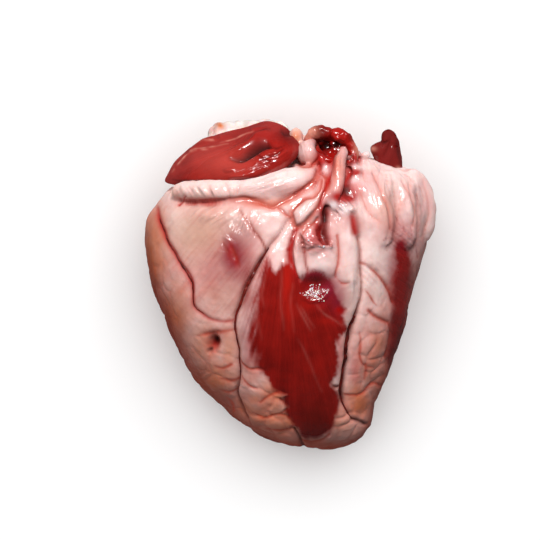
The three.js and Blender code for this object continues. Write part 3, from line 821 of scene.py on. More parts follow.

# %% [markdown]
# Fat isn't one colour. It is cream where it is thin and dry, pink where blood has soaked in, and
# tan or orange at the left margin and towards the apex. We place these tints as soft patches: a
# row holds a patch's centre, right and down, its half width and half height, and its strength.
# A few patches here are not the fat's own colour: some are painted shade and some painted highlights, as
# the comments at them say.

# %% Soft patches of tint
TINTS = {
    "warm": [
        (205, 240, 44, 50, 0.35), (372, 290, 24, 40, 0.15), (265, 420, 60, 34, 0.9),
        (345, 420, 30, 26, 0.6), (248, 380, 18, 22, 0.4), (366, 345, 22, 34, 0.35),
        (152, 255, 17, 60, 1), (172, 320, 24, 40, 1), (200, 345, 26, 28, 0.8),
        (205, 385, 36, 30, 1), (250, 415, 40, 22, 0.85), (270, 402, 24, 22, 1),
        (300, 446, 60, 10, 0.9), (345, 425, 26, 22, 0.65), (372, 370, 18, 40, 0.6),
        (377, 342, 11, 18, 0.75), (256, 400, 12, 10, 1), (358, 404, 16, 22, 1),
        (268, 203, 30, 5, 0.5), (337, 168, 7, 22, 0.5), (296, 135, 8, 9, 1), (312, 160, 12, 8, 0.2),
        (385, 215, 10, 22, 0.3), (228, 352, 12, 34, 0.65), (210, 300, 30, 30, 0.35),
        (384, 315, 10, 22, 0.3), (175, 193, 8, 9, 0.4),
    ],
    # A duller, greyer beige on the left wall and a few other places: partly the fat's colour, partly
    # painted shade where the surface turns from the light.
    "dull_beige_and_shade": [
        (198, 234, 40, 28, 0.9), (228, 290, 22, 30, 0.4), (350, 300, 10, 30, 0.3),
        (393, 204, 12, 28, 0.25), (226, 276, 26, 26, 0.35),
    ],
    "flush": [
        (330, 172, 22, 30, 0.8), (350, 190, 14, 14, 1), (316, 237, 16, 10, 1),
        (336, 212, 12, 12, 0.3), (285, 190, 34, 10, 0.4), (300, 245, 12, 22, 0.3),
        (350, 260, 14, 30, 0.15), (405, 200, 26, 36, 0.25), (398, 228, 26, 16, 0.6),
        (385, 335, 10, 26, 0.6), (300, 432, 60, 20, 0.5), (330, 300, 18, 22, 0.9),
        (268, 290, 10, 40, 0.9), (254, 345, 12, 34, 1), (341, 355, 7, 26, 0.9), (368, 185, 16, 24, 0.3),
        (246, 255, 16, 26, 0.7), (270, 395, 20, 20, 0.5), (215, 270, 34, 40, 0.7),
        (195, 290, 24, 40, 0.4), (250, 205, 30, 6, 0.4), (372, 350, 16, 30, 0.6),
        (250, 385, 20, 20, 0.25), (350, 410, 16, 14, 0.6), (395, 300, 6, 60, 0.8), (357, 372, 7, 26, 1),
    ],
    "bruise": [
        (233, 255, 15, 25, 1.15), (226, 262, 22, 30, 0.5), (246, 235, 14, 16, 0.4),
        (328, 287, 15, 16, 1), (316, 276, 14, 8, 1), (404, 243, 16, 10, 0.6), (392, 262, 8, 24, 0.35),
        (336, 203, 9, 8, 0.7), (338, 298, 9, 16, 0.8), (400, 232, 22, 12, 0.25), (318, 254, 18, 12, 0.3),
        (337, 216, 8, 10, 0.2), (347, 188, 7, 12, 0.5), (318, 240, 14, 5, 0.45),
    ],
    "bright": [
        (287, 280, 5, 26, 1), (289, 310, 5, 24, 0.7), (312, 305, 12, 6, 0.6), (340, 312, 6, 5, 0.9),
        (318, 375, 8, 20, 0.35), (330, 322, 14, 4, 0.6),
    ],
    "dark": [
        (317, 281, 11, 5, 0.9), (325, 231, 3.6, 12, 0.9), (348, 189, 3.4, 7, 0.9), (350, 160, 4, 6, 0.6),
        # The patch at (315, 418) darkens the apex end of the muscle: partly its darker red, partly
        # painted shade.
        (315, 418, 25, 24, 0.75), (400, 335, 10, 40, 0.35), (403, 290, 9, 46, 0.2),
    ],
    "blood": [
        (324, 213, 6, 10, 1.4), (212, 345, 6, 9, 1), (315, 284, 12, 8, 0.4), (322, 232, 6, 14, 1.3),
        (340, 197, 9, 6, 1.2), (356, 158, 6, 8, 1.4), (334, 165, 3, 12, 0.75), (348, 195, 8, 8, 1.5),
        (320, 244, 12, 3, 0.6), (318, 228, 5, 10, 1.1), (324, 158, 9, 13, 1.5), (353, 160, 5, 8, 1.5),
        (332, 138, 20, 10, 1.5), (354, 172, 8, 3.6, 1.4), (340, 310, 3, 2.6, 1.4), (402, 290, 8, 46, 0.5),
        (231, 251, 3.4, 10, 0.5), (236, 261, 3, 8, 0.5), (313, 242, 12, 7, 0.35),
        (206, 201, 24, 3.4, 0.75),
    ],
    "maroon": [(233, 256, 8, 16, 0.3), (352, 157, 5, 8, 0.7)],
    # The first rust patch is painted shade along the apex rim; the second is a tint of the fat.
    "rust": [(320, 447, 34, 7, 0.6), (258, 402, 14, 10, 0.2)],
    # Painted shade along the lower left rim and the apex.
    "edge": [
        (178, 345, 9, 20, 0.35), (196, 374, 13, 16, 0.5), (222, 402, 18, 12, 0.5), (250, 424, 20, 8, 0.4),
    ],
    # White is pale tissue; the patch at (346, 209) is a pale membrane with a painted highlight, and those
    # at (349, 232), (368, 269) and (352, 286) are painted highlights.
    "white_tissue_and_glint": [
        (334, 205, 4, 3.4, 0.9), (346, 209, 7, 5.4, 0.8), (322, 248.5, 9, 1.6, 0.5),
        (325, 169, 3, 3.6, 0.7), (355, 166, 3.4, 3, 0.4), (355, 179, 3.4, 3, 0.5),
        (349, 232, 2, 12, 0.45), (368, 269, 3.6, 5, 0.5), (352, 286, 3, 4, 0.4),
    ],
    "clot": [
        (326, 146, 8, 6, 1), (348, 189, 2, 6, 0.4), (213, 342, 4, 5.4, 1), (209, 351, 2, 2.4, 0.8),
        (325, 214, 3.4, 6, 0.9),
    ],
}
LOBULED = [  # where the fat lies in small lobules
    (265, 410, 46, 30, 1), (212, 375, 30, 32, 0.7), (375, 350, 24, 50, 0.8), (345, 420, 26, 24, 0.9),
    (165, 290, 16, 60, 0.45), (395, 240, 26, 24, 0.5),
]
WET_SPOTS = [  # where a wet film glints: centre, half sizes, and the way that its streaks run
    (200, 190, 24, 7, 6, 10), (262, 184, 26, 6, 30, -9), (246, 224, 9, 13, -6, 14),
    (214, 214, 24, 9, 30, -22), (304, 210, 10, 11, 10, -12), (344, 207, 12, 8, 10, 8),
    (312, 241, 14, 8, 20, 6), (368, 191, 13, 27, 9, 24), (386, 188, 8, 20, 6, 22),
    (409, 192, 8, 18, 6, 20), (352, 286, 4, 10, 2, 10), (295, 250, 5, 16, 2, 12),
    (338, 160, 5, 12, 1, 12), (306, 147, 6, 9, 3, 10),
]
WISPS = [
    [(297, 304, 0.3), (303, 316), (311, 331, 0.4)], [(301, 306, 0.4), (308, 318, 0.9), (314, 328, 0.3)],
    [(316, 304, 0.3), (324, 314), (334, 320), (346, 328, 0.6)],
    [(281, 268, 0.4), (281, 300, 0.6), (284, 330, 0.3)],
    [(292, 284, 0.4), (291, 305, 0.5), (295, 332, 0.3)],
    [(299, 340, 0.2), (309, 362, 0.6), (322, 392, 0.3)],
    [(255, 300, 0.6), (257, 318, 0.7), (262, 340, 0.2)],
    [(265, 276, 0.5), (262, 292, 0.6), (263, 308, 0.2)],
]
VEILS = [(247, 292, 8, 40, 0.65), (244, 345, 8, 34, 0.5), (395, 262, 5, 24, 0.35)]


# %% Uneven lines and wet streaks
def wobble(pixels, size=11.0, most=1.1):
    """A small uneven shift of the drawn lines, in pixels, so that no crease runs too smoothly."""
    return np.stack([mottle(pixels, size, 1), mottle(pixels, size, 2)], axis=1) * most


FILM_WIDTH = 4  # pixels across one streak of the film


def film_on(piece, pixels, spots, shown, length, height, seed):
    """Stores how wet each point of a piece is, and its place across and along the streaks of its
    wettest spot. The answer is how high the streaks stand, in mm."""
    wetness = np.array([patch(pixels, *spot[:4]) for spot in spots])
    way = unit(np.array([spot[4:] for spot in spots], float))[wetness.argmax(axis=0)]
    wet = wetness.max(axis=0) * shown
    across, along = pixels[:, 1] * way[:, 0] - pixels[:, 0] * way[:, 1], (pixels * way).sum(axis=1)
    for name, values in {"wet": wet, "film_across": across, "film_along": along}.items():
        keep(piece.data, name, values)
    return streaky(across, along, FILM_WIDTH, length, seed) * height * wet


# %% Press the creases in and note the colours
APEX_LIFT, APEX_DOWN = 7, (400, 440)  # the apex is low all round: mm, and pixels down
FRONT_FROM, FRONT_FULL = -9, -2  # mm over the waist
PIT_WALL = 2.6  # more than 2 makes the walls of the pits steeper than a bell's

points, normals, pixels, marks = skin_of(flesh)
wobbled = pixels + wobble(pixels)
above_waist = points[:, 2] - (waist_height(points[:, 1]) - SAG)
above_waist += APEX_LIFT * soft_step(pixels[:, 1], *APEX_DOWN)
front = soft_step(above_waist, FRONT_FROM, FRONT_FULL)
depth = press_creases(wobbled, CREASES, front, marks)
depth += press_creases(wobbled, BACK_CREASES, 1 - front, marks)
for centre, half, deep in PITS.values():
    depth += deep * np.exp(-(away_from(pixels, centre, half) ** PIT_WALL)) * front
print("deepest crease in mm:", round(float(depth.max()), 2))

# %% [markdown]
# Muscle shows where fat is missing. Its fibres fan out from the base towards the apex. The left
# edge is frayed along those fibres, where a thin veil of fat lies over it; the rest of its edge
# is clean and lobed.

# %% Where the muscle shows
FAN_CENTRE, FAN_NEAREST, FAN_SPREAD = (285, 205), 12, 110  # pixels
VEIL_RIGHT, VEIL_FOOT, VEIL_FADE = 275, 372, 12
EDGE_BLUR, VEIL_BLUR = 2.6, 6
FRINGE, VEIL_FRINGE = 1.5, 5  # how far single fibres reach past the edge
RIGHT_BLUR, HIND_BLUR = (-4, 5), (-6, 6)
WISP_WIDTH, WISP_REACH = 1.3, 6
WISP_MEAN, WISP_FRAY = 0.6, 0.4  # how strong a wisp is, and how much that frays
FRAY_STREAKS = (1.7, 13, 5)  # width and length in pixels, and seed
EDGE_LUMPS = [(0.9, 1.1, 6), (3.0, 1.2, 7)]  # size in mm, height in pixels, and seed

down_fan = np.maximum(pixels[:, 1] - FAN_CENTRE[1], FAN_NEAREST)
across = np.arctan2(pixels[:, 0] - FAN_CENTRE[0], down_fan) * FAN_SPREAD
lengthwise = pixels[:, 1] + points[:, 2] * 2
fray = streaky(across, lengthwise, *FRAY_STREAKS)
rough_edge = uneven(points, *EDGE_LUMPS)
veil_across = soft_step(VEIL_RIGHT - pixels[:, 0], 0, VEIL_FADE)
left_veil = veil_across * soft_step(VEIL_FOOT - pixels[:, 1], 0, VEIL_FADE)
feather = EDGE_BLUR + VEIL_BLUR * left_veil
fringe = fray * (FRINGE + VEIL_FRINGE * left_veil)
edge = inside_by(pixels, MUSCLE) + rough_edge + fringe - left_veil
muscle = soft_step(edge, -feather, feather)
right_inside = inside_by(pixels, RIGHT_MUSCLE) + rough_edge + fray
muscle = np.maximum(muscle, soft_step(right_inside, *RIGHT_BLUR))
muscle = np.maximum(muscle, patches(pixels, VEILS) * (1 + 0.5 * fray))
muscle *= front
for outline in HIND_MUSCLES:
    hind_edge = inside_by(pixels, outline) + rough_edge * 2 + fray * 2
    hind = soft_step(hind_edge, *HIND_BLUR)
    muscle = np.maximum(muscle, hind * (1 - front))
marks["muscle"] = muscle
for wisp in WISPS:
    away, strength = distance_to_line(wobbled, wisp, WISP_REACH)
    deepen(marks, "pale", strength * (WISP_MEAN + WISP_FRAY * fray) * bell(away, WISP_WIDTH))
marks["pale"] = np.clip(marks["pale"], 0, 1) * muscle
print("share of the skin that is muscle:", round(float(muscle.mean()), 2))


# %% [markdown]
# Fat is lumpy at every scale. Near the apex and on the sides it lies in lobules like a bunch of
# grapes, and where it was handled or pulled it is wrinkled. Muscle is flatter, and its fine
# relief runs with its fibres.

# %% Uneven fat and its lobules
LOBULE_SIZE, LOBULE_RISE, LOBULE_ROUND = 6.5, 0.22, 1.6  # mm
LOBULE_CUT, LOBULE_CUT_WIDTH, LOBULE_LINE_WIDTH = 0.26, 0.35, 0.4
SIDE_SIZE, SIDE_CUT, SIDE_CUT_WIDTH = 11.0, 0.42, 0.9  # the sides lie in broad, shallow lobes
SIDE_HALO, SIDE_LINE_WIDTH = 0.6, 0.8
SIDE_FACING = (0.1, 0.45)  # how far up a place faces where the side lobes are full, and where they end
BACK_LOBULED = 0.5
BENT_BY, BENT_SIZE = 1.6, 5.0  # how far the lobules' borders are bent, and in how long waves: mm
BENT_SEEDS, LOBULE_SEED, SIDE_SEED = (81, 82, 83), 19, 85
FAT_LUMPS = [(9.0, 0.35, 11), (4.0, 0.16, 12), (1.8, 0.07, 13), (0.95, 0.035, 17)]
MUSCLE_LUMPS = [(6.0, 0.2, 15), (1.4, 0.05, 18)]
MUSCLE_GRAIN, GRAIN_RISE = (2.2, 24, 14), 0.06

lobed = uneven(points, *FAT_LUMPS)
grained = streaky(across, lengthwise, *MUSCLE_GRAIN) * GRAIN_RISE
grained += uneven(points, *MUSCLE_LUMPS)
fat = 1 - muscle
raised = lobed * fat + grained * muscle
waves = np.stack([mottle(points, BENT_SIZE, seed) for seed in BENT_SEEDS], axis=1)
bent = points + waves * BENT_BY
border = lobule_border(bent, LOBULE_SIZE, LOBULE_SEED)
lobuled = np.maximum(patches(pixels, LOBULED) * front, (1 - front) * BACK_LOBULED) * fat
rounded = soft_step(border, 0, LOBULE_ROUND) * LOBULE_RISE
raised += (rounded - LOBULE_CUT * bell(border, LOBULE_CUT_WIDTH)) * lobuled
deepen(marks, "halo", HALO * bell(border, LOBULE_LINE_WIDTH) * lobuled)
side_border = lobule_border(bent, SIDE_SIZE, SIDE_SEED)
steep_side = 1 - soft_step(normals[:, 2], *SIDE_FACING)
raised -= SIDE_CUT * bell(side_border, SIDE_CUT_WIDTH) * steep_side * fat
deepen(marks, "halo", SIDE_HALO * bell(side_border, SIDE_LINE_WIDTH) * steep_side * fat)
print("share of the skin in lobules:", round(float((lobuled > 0.3).mean()), 2))


# %% Wrinkles and streaks
def run_of(pixels, direction):
    """Places across and along a direction of the picture."""
    run = np.array(direction, float) / np.hypot(*direction)
    return pixels @ np.array([-run[1], run[0]]), pixels @ run


def wrinkles(middle, half, direction, spacing, height, seed):
    """Parallel wrinkles that run in a direction of the picture, round a middle place."""
    sideways, _ = run_of(pixels - np.array(middle), direction)
    bend = mottle(points, BEND_SIZE, seed) * spacing * BEND_SHARE
    wave = np.sin(2 * np.pi * (sideways + bend) / spacing)
    return height * wave * patch(pixels, *middle, *half) * front


WRINKLES = [  # middle, half sizes, the way they run, spacing in pixels, height in mm, seed
    ((367, 191), (11, 26), (13, 42), 6.4, 0.18, 21), ((388, 195), (10, 26), (12, 40), 7.0, 0.16, 28),
    ((412, 205), (14, 34), (4, 40), 8.0, 0.2, 22), ((403, 240), (14, 14), (20, 20), 4.0, 0.16, 23),
    ((318, 240), (14, 9), (10, 4), 3.6, 0.2, 25), ((343, 207), (10, 9), (10, 16), 4.6, 0.35, 26),
    ((206, 191), (26, 8), (3, 14), 9.0, 0.15, 33), ((216, 216), (24, 9), (-30, 22), 6.0, 0.13, 34),
    ((246, 226), (12, 12), (-10, 24), 5.0, 0.14, 35), ((268, 182), (22, 9), (40, -14), 6.0, 0.1, 36),
    ((372, 275), (12, 14), (20, 20), 5.0, 0.14, 37),
]
BEND_SIZE, BEND_SHARE = 5.0, 0.45  # mm, and how far wrinkles bend aside, in spacings
LEFT_WALL = (205, 265, 52, 70)
WALL_RUN = (-30, 36)  # the way that its streaks run
WALL_STREAKS, WALL_BRUISES = (2.6, 26, 31), (1.8, 20, 32)  # width, length, seed
WALL_RISE = 0.07
MUSCLE_SUNK = 0.2  # mm that bare muscle lies below the fat
FLAT_BELOW = 0.3  # mm: what is lower belongs to the spot that the heart rests on

raised += ridge_height(wobbled, RIDGES) * front
for wrinkle in WRINKLES:
    raised += wrinkles(*wrinkle)
raised += film_on(flesh, pixels, WET_SPOTS, shown=front, length=11, height=0.17, seed=38)
left_streaks = streaky(*run_of(pixels, WALL_RUN), *WALL_STREAKS)
left_wall = patch(pixels, *LEFT_WALL) * front
raised += left_streaks * WALL_RISE * left_wall
raised -= muscle * MUSCLE_SUNK
shaped = points + normals * (raised - depth)[:, None]
shaped[:, 2] = np.where(points[:, 2] < FLAT_BELOW, points[:, 2], np.maximum(shaped[:, 2], 0))
move_points(flesh, shaped)
flesh_drawn, flesh_shaped, flesh_front = wobbled, shaped, front
print("raised between", round(float(raised.min()), 2), "and", round(float(raised.max()), 2), "mm")

# %% [markdown]
# Thin blood and fluid gather in hollows, and shade falls in them too, so a hollow is painted redder
# and darker than what stands up round it: partly blood, partly painted shade. We find hollows on a
# map of heights, seen from the camera: a place is hollow by as much as it lies below the mean of its
# surroundings.

# %% Hollows hold blood and painted shade
MAP_SIZE = 540
HOLLOW_REACH = 4  # pixels
FACES_UP = 0.1  # a place that faces up by more than this is seen
HOLLOW_FACING = (0.3, 0.7)  # how far up a place faces where its hollow starts to count, and is full
BLOODY = (328, 190, 34, 60)  # round the vessels fresh blood stands, and elsewhere old blood
HOLLOW_BLOOD_AND_SHADE = {  # mark: the hollow's depth in mm where it starts and where it is full, and its strength
    "halo": (0.05, 0.5, 0.7), "maroon": (0.4, 1.2, 0.8), "blood": (0.3, 1.0, 1.0),
}


def mean_round(grid, reach):
    """A map blurred by a bell-shaped mean."""
    weights = bell(np.arange(-3 * reach, 3 * reach + 1), reach)
    rows = np.array([np.convolve(row, weights, "same") for row in grid])
    return np.array([np.convolve(column, weights, "same") for column in rows.T]).T


def hollow_by(pixels, heights, seen, reach):
    """How far points lie below the mean height round them, in mm. Only seen points count."""
    cell = np.clip(pixels.round().astype(int), 0, MAP_SIZE - 1)
    tallest = np.zeros((MAP_SIZE, MAP_SIZE))
    np.maximum.at(tallest, (cell[seen, 1], cell[seen, 0]), heights[seen])
    known = (tallest > 0).astype(float)
    mean = mean_round(tallest, reach) / np.maximum(mean_round(known, reach), 1e-6)
    return mean[cell[:, 1], cell[:, 0]] - heights


seen = (normals[:, 2] > FACES_UP) & (front > 0.5)
hollow = hollow_by(seen_at(shaped), shaped[:, 2], seen, HOLLOW_REACH)
hollow *= soft_step(normals[:, 2], *HOLLOW_FACING)
bloody = patch(pixels, *BLOODY)
where = {"halo": 1, "maroon": 1 - bloody, "blood": bloody}
for name, (low, high, most) in HOLLOW_BLOOD_AND_SHADE.items():
    deepen(marks, name, soft_step(hollow, low, high) * most * where[name])
print("deepest hollow in mm:", round(float(hollow.max()), 2))

# %% Keep the colours on the skin
WALL_FLUSH, WALL_BRUISE, BACK_WARM = 0.6, 0.25, 0.5
# Where and how strongly painted shade darkens the lower sides:
SHADED_LOWER_PART = (170, 300)  # pixels down: from here on the sides darken, and are full dark
RIM_SHADE_FACING, EDGE_SHADE_FACING = (-0.8, -0.3), (-0.55, -0.1)  # how far down a place faces
EDGE_SHADE_STRENGTH, EDGE_SHADE_UNEVEN, EDGE_SHADE_SPECKS = 0.78, 0.2, (7.0, 84)
CLOT_DULL, DARK_DULL = 0.5, 0.6
SHOWN_FACING = (0.25, 0.85)
FAT_GLOSS, MUSCLE_GLOSS, MUSCLE_MORE = 0.75, 0.55, 0.2

add_tints(wobbled, TINTS, front, marks)
marks["flush"] += np.maximum(left_streaks, 0) * WALL_FLUSH * left_wall
bruised = np.maximum(streaky(*run_of(pixels, WALL_RUN), *WALL_BRUISES), 0)
marks["bruise"] += bruised * WALL_BRUISE * left_wall
deepen(marks, "warm", (1 - front) * BACK_WARM)
# Painted shade: the lower sides are painted a darker brown the more they face down, and the steepest of
# them darker still, with a speckled border.
shaded_lower_part = soft_step(pixels[:, 1], *SHADED_LOWER_PART)
marks["painted_rim_shade"] = soft_step(-normals[:, 2], *RIM_SHADE_FACING) * shaded_lower_part
steep_shade = soft_step(-normals[:, 2], *EDGE_SHADE_FACING) * shaded_lower_part
shade_specks = EDGE_SHADE_UNEVEN * mottle(points, *EDGE_SHADE_SPECKS)
deepen(marks, "edge", steep_shade * (EDGE_SHADE_STRENGTH + shade_specks))
keep_marks(flesh, marks)
dull = np.maximum(marks["clot"] * CLOT_DULL, marks["dark"] * DARK_DULL)
shown = soft_step(normals[:, 2], *SHOWN_FACING)
gloss = FAT_GLOSS * shown * (1 - np.clip(dull, 0, 1)) * fat
gloss += (MUSCLE_GLOSS + MUSCLE_MORE * shown) * muscle
print("glossy share of the skin:", round(float((gloss > 0.5).mean()), 2))
keep_fibres(flesh, across, lengthwise, gloss)

# %% [markdown]
# ## The flap of atrium
# At the upper left the atrium's wall was cut open and folded down over the fat. It is a thick,
# dark red leaf, smooth and very wet, with a pointed left end. A fold across its middle stands up
# over a dark slit, small wrinkles lie at its right, and its cut upper edge shows pale fibres.

# %% The flap's shape
FLAP_SLICES = [
    (-34.6, 27.2, 31, 28, 2.4), (-31.6, 27.2, 35, 32.5, 6), (-25.5, 27.2, 39.2, 38, 8.5),
    (-19.5, 26.9, 41.8, 41.5, 9.5), (-13, 27, 43.4, 43.5, 9.5), (-7, 28.8, 45.2, 44.5, 9),
    (-2, 31, 44.4, 45, 8.5), (1.6, 33, 42, 44, 7), (3, 34.6, 40, 43, 4),
]
FLAP_CREASES = {
    "slit": ([(229, 158, 0.3), (240, 159, 0.8), (250, 154, 1.1), (258, 148, 1.3), (266, 144, 1.2),
        (271, 145, 0.5)], 1.5, 2.8, 0.5, 6, "clot", 2.6),
    "torn corner": ([(282, 129, 0.6), (286, 133, 1.1), (291, 134)], 0.8, 2.4, 0, 4, "dark", 2.2),
    "behind the fold": ([(270, 128, 0.4), (263, 131), (255, 135, 0.4)], 0.3, 1.8, 0.2, 5, "maroon", 1.2),
    "right wrinkle a": ([(260, 160, 0.6), (268, 156), (276, 154), (284, 148, 0.6)],
        0.35, 1.4, 0.2, 4, "maroon", 1),
    "right wrinkle b": ([(256, 153, 0.6), (264, 158), (270, 162, 0.6)], 0.3, 1.4, 0.2, 4, "maroon", 0.9),
    "right wrinkle c": ([(270, 144, 0.5), (276, 148), (286, 144, 0.5)], 0.3, 1.4, 0.2, 4, "maroon", 0.9),
    "low edge": ([(172, 180, 0.5), (200, 181), (230, 182), (250, 179), (270, 171, 0.5)],
        0, 2, 0, 4, "dark", 1.6),
}
FLAP_RIDGES = [
    ([(231, 154, 0.5), (240, 150), (247, 147), (253, 142), (258, 137), (265, 133, 0.6)], 1.5, 4.6),
    ([(231, 177, 0.6), (242, 176), (252, 173, 0.5)], 0.5, 2.2),
    ([(192, 151, 0.6), (202, 144), (212, 139, 0.6)], 0.9, 2.3),
    ([(221, 138, 0.7), (230, 135, 0.6)], 0.8, 2.3),
    ([(253, 130, 0.7), (266, 128, 0.7)], 0.8, 2.3),
    ([(272, 158, 0.7), (279, 156), (286, 151, 0.6)], 0.4, 1.7),
    ([(256, 163, 0.5), (263, 160), (272, 159, 0.6)], 0.3, 1.2),
    ([(273, 153, 0.6), (280, 150, 0.6)], 0.3, 1.2),
    ([(260, 151, 0.8), (265, 150, 0.6)], 0.3, 1.3),
    ([(261, 155, 0.8), (264, 157, 0.8)], 0.3, 1.2),
    ([(276, 147, 0.9), (280, 147, 0.7)], 0.3, 1.3),
    ([(226, 170, 0.8), (232, 170, 0.8)], 0.45, 2),
    ([(264, 167, 0.8), (267, 169, 0.8)], 0.25, 1.3),
]
FLAP_WET_SPOTS = [
    (246, 144, 15, 7, 25, -20), (270, 157, 17, 8, 20, -8), (240, 177, 15, 4, 20, -3),
    (203, 143, 15, 5, 16, -9), (262, 129, 9, 4, 10, -3), (227, 136, 7, 4, 8, -2), (229, 170, 6, 4, 8, -1),
    (266, 168, 5, 4, 5, 3),
]
CUT_EDGE_FIBRES = [
    [(172, 172, 0.3), (178, 164), (187, 156), (198, 150), (212, 147, 0.6), (228, 144, 0.3)],
    [(171, 168, 0.3), (177, 159), (186, 151), (197, 145), (209, 140, 0.5)],
    [(176, 166, 0.3), (184, 158), (195, 152), (208, 149, 0.4)],
    [(180, 155, 0.4), (189, 149), (200, 144, 0.6), (214, 141, 0.3)],
    [(220, 143, 0.2), (232, 139, 0.7), (244, 134, 0.6), (254, 132, 0.3)],
]

FLAP_TINTS = {
    "maroon": [(286, 136, 9, 9, 0.8)],
    "blood": [(262, 140, 26, 12, 0.35)],
    "flush": [(224, 162, 32, 16, 0.7)],
}
FLAP_SLOPE = 0.85
CUT_FIBRE_RISE, CUT_FIBRE_REACH = 0.15, 4  # mm, and pixels
FIBRE_WIDE, FIBRE_MOUND, FIBRE_BREAKS = 0.7, 1.1, (4.0, 47)  # pixels, and size and seed
WET_WRINKLES, WRINKLE_RISE = (2.2, 5, 43), 0.16
WET_WRINKLES_AT = (268, 152, 19, 9)
WRINKLE_ACROSS, WRINKLE_ALONG = np.array([0.4, 0.9]), np.array([0.9, -0.4])
FLAP_ACROSS, FLAP_ALONG = np.array([0.36, 0.93]), np.array([0.93, -0.36])  # its fibres' run
FLAP_LUMPS, UNDER_LUMPS = [(5.0, 0.22, 44), (1.6, 0.05, 45)], (3.0, 0.15, 46)
FLAP_WOBBLE = (9.0, 0.9)
FLAP_TOP, FLAP_SHINY = (-0.1, 0.3), (0.3, 0.8)  # how far up a place faces
FLAP_GLOSS, DULL_CLOT = 0.9, 1.4

flap = piece_from("flap", *leaf(FLAP_SLICES, FLAP_SLOPE))
points, normals, pixels, marks = skin_of(flap, SAG)
facing = soft_step(normals[:, 2], *FLAP_TOP)
wobbled = pixels + wobble(pixels, *FLAP_WOBBLE)
lift = ridge_height(wobbled, FLAP_RIDGES) - press_creases(wobbled, FLAP_CREASES, 1, marks)
for fibre in CUT_EDGE_FIBRES:
    away, strength = distance_to_line(wobbled, fibre, CUT_FIBRE_REACH)
    broken = 0.5 + mottle(pixels, *FIBRE_BREAKS)
    deepen(marks, "pale", strength * broken * bell(away, FIBRE_WIDE) * facing)
    lift += CUT_FIBRE_RISE * strength * bell(away, FIBRE_MOUND)
wet_wrinkles = streaky(pixels @ WRINKLE_ACROSS, pixels @ WRINKLE_ALONG, *WET_WRINKLES)
wet_wrinkles *= patch(pixels, *WET_WRINKLES_AT)
lift += film_on(flap, pixels, FLAP_WET_SPOTS, shown=1, length=10, height=0.16, seed=48)
lift += wet_wrinkles * WRINKLE_RISE + uneven(points, *FLAP_LUMPS)
under_side = uneven(points, UNDER_LUMPS)
move_points(flap, points + normals * (lift * facing + under_side * (1 - facing))[:, None])
add_tints(pixels, FLAP_TINTS, 1, marks)
keep_marks(flap, marks)
gloss = FLAP_GLOSS * soft_step(normals[:, 2], *FLAP_SHINY)
gloss *= 1 - np.clip(marks["clot"] * DULL_CLOT, 0, 1)
keep_fibres(flap, pixels @ FLAP_ACROSS, pixels @ FLAP_ALONG, gloss)
print("flap:", len(flap.data.vertices), "points")

# %% [markdown]
# ## The ear
# The right atrium's ear is a small, dark, pointed leaf that stands free behind the shoulder, with
# a round knob at its tip. It is made of slices as the flap is, and turned a quarter to point away
# from the apex.

# %% The ear's shape
EAR_SLICES = [
    (24, -33, -22, 28, 9), (31, -31.8, -23.6, 29.5, 9), (35, -31.3, -23.4, 30.6, 8.5),
    (37.4, -30.9, -22.4, 31, 7.5), (38.6, -30.6, -22.6, 31.2, 6.6), (39.8, -30.3, -24.4, 31.6, 5.8),
    (40.9, -29.9, -25.2, 31.8, 5.2), (42.2, -29.8, -25.3, 32, 4.8), (43.4, -29.5, -25.6, 32.2, 4.2),
]
EAR_CREASES = {
    "under the knob": ([(380, 140, 0.8), (385, 143), (390, 140, 0.5)], 0.5, 2.2, 0.3, 5, "dark", 1.4),
    "long fold": ([(392, 136, 0.5), (389, 148), (384, 157, 0.5)], 0.35, 2.2, 0.3, 6, "maroon", 1.4),
    "right edge": ([(396, 140, 0.4), (398, 152), (400, 164, 0.4)], 0, 2, 0, 4, "dark", 1.6),
}
# Pale spots painted where the ear glints: painted highlights.
EAR_PAINTED_HIGHLIGHTS = {"pale": [(372, 149, 4, 2.5, 0.7), (398, 168, 2.4, 2, 0.5)]}
EAR_KNOB = (386, 132, 7, 6)
EAR_SLOPE = -0.25
EAR_LUMPS = [(4.0, 0.35, 51), (1.6, 0.1, 52)]
EAR_MAROON, KNOB_MAROON = 0.8, 0.2
EAR_GLOSS, EAR_SPECKS, EAR_SHINY = 0.7, (1.6, 53), (0.3, 0.6)
EAR_SLANT = 0.3  # how far its fibres lean

ear_points, ear_faces = leaf(EAR_SLICES, EAR_SLOPE, columns=150, rows=130)
ear_points = np.stack([-ear_points[:, 1], ear_points[:, 0], ear_points[:, 2]], axis=1)
ear = piece_from("ear", ear_points, ear_faces)
points, normals, pixels, marks = skin_of(ear, SAG)
lift = uneven(points, *EAR_LUMPS)
lift -= press_creases(pixels, EAR_CREASES, 1, marks)
move_points(ear, points + normals * lift[:, None])
deepen(marks, "maroon", EAR_MAROON + patch(pixels, *EAR_KNOB) * KNOB_MAROON)
add_tints(pixels, EAR_PAINTED_HIGHLIGHTS, 1, marks)
keep_marks(ear, marks)
gloss = EAR_GLOSS * soft_step(mottle(points, *EAR_SPECKS), *EAR_SHINY)
keep_fibres(ear, pixels[:, 0] + pixels[:, 1] * EAR_SLANT, pixels[:, 1], gloss)
print("ear:", len(ear.data.vertices), "points")

# %% [markdown]
# ## The mouth of the vessel
# The great vessel was cut short. Its lip is a torn ring, orange-pink at its left and dark red
# elsewhere, round a black hole with glossy clots in it. The ring is a hoop of flesh through a few
# places read off the picture, and the clots are lumps welded together.

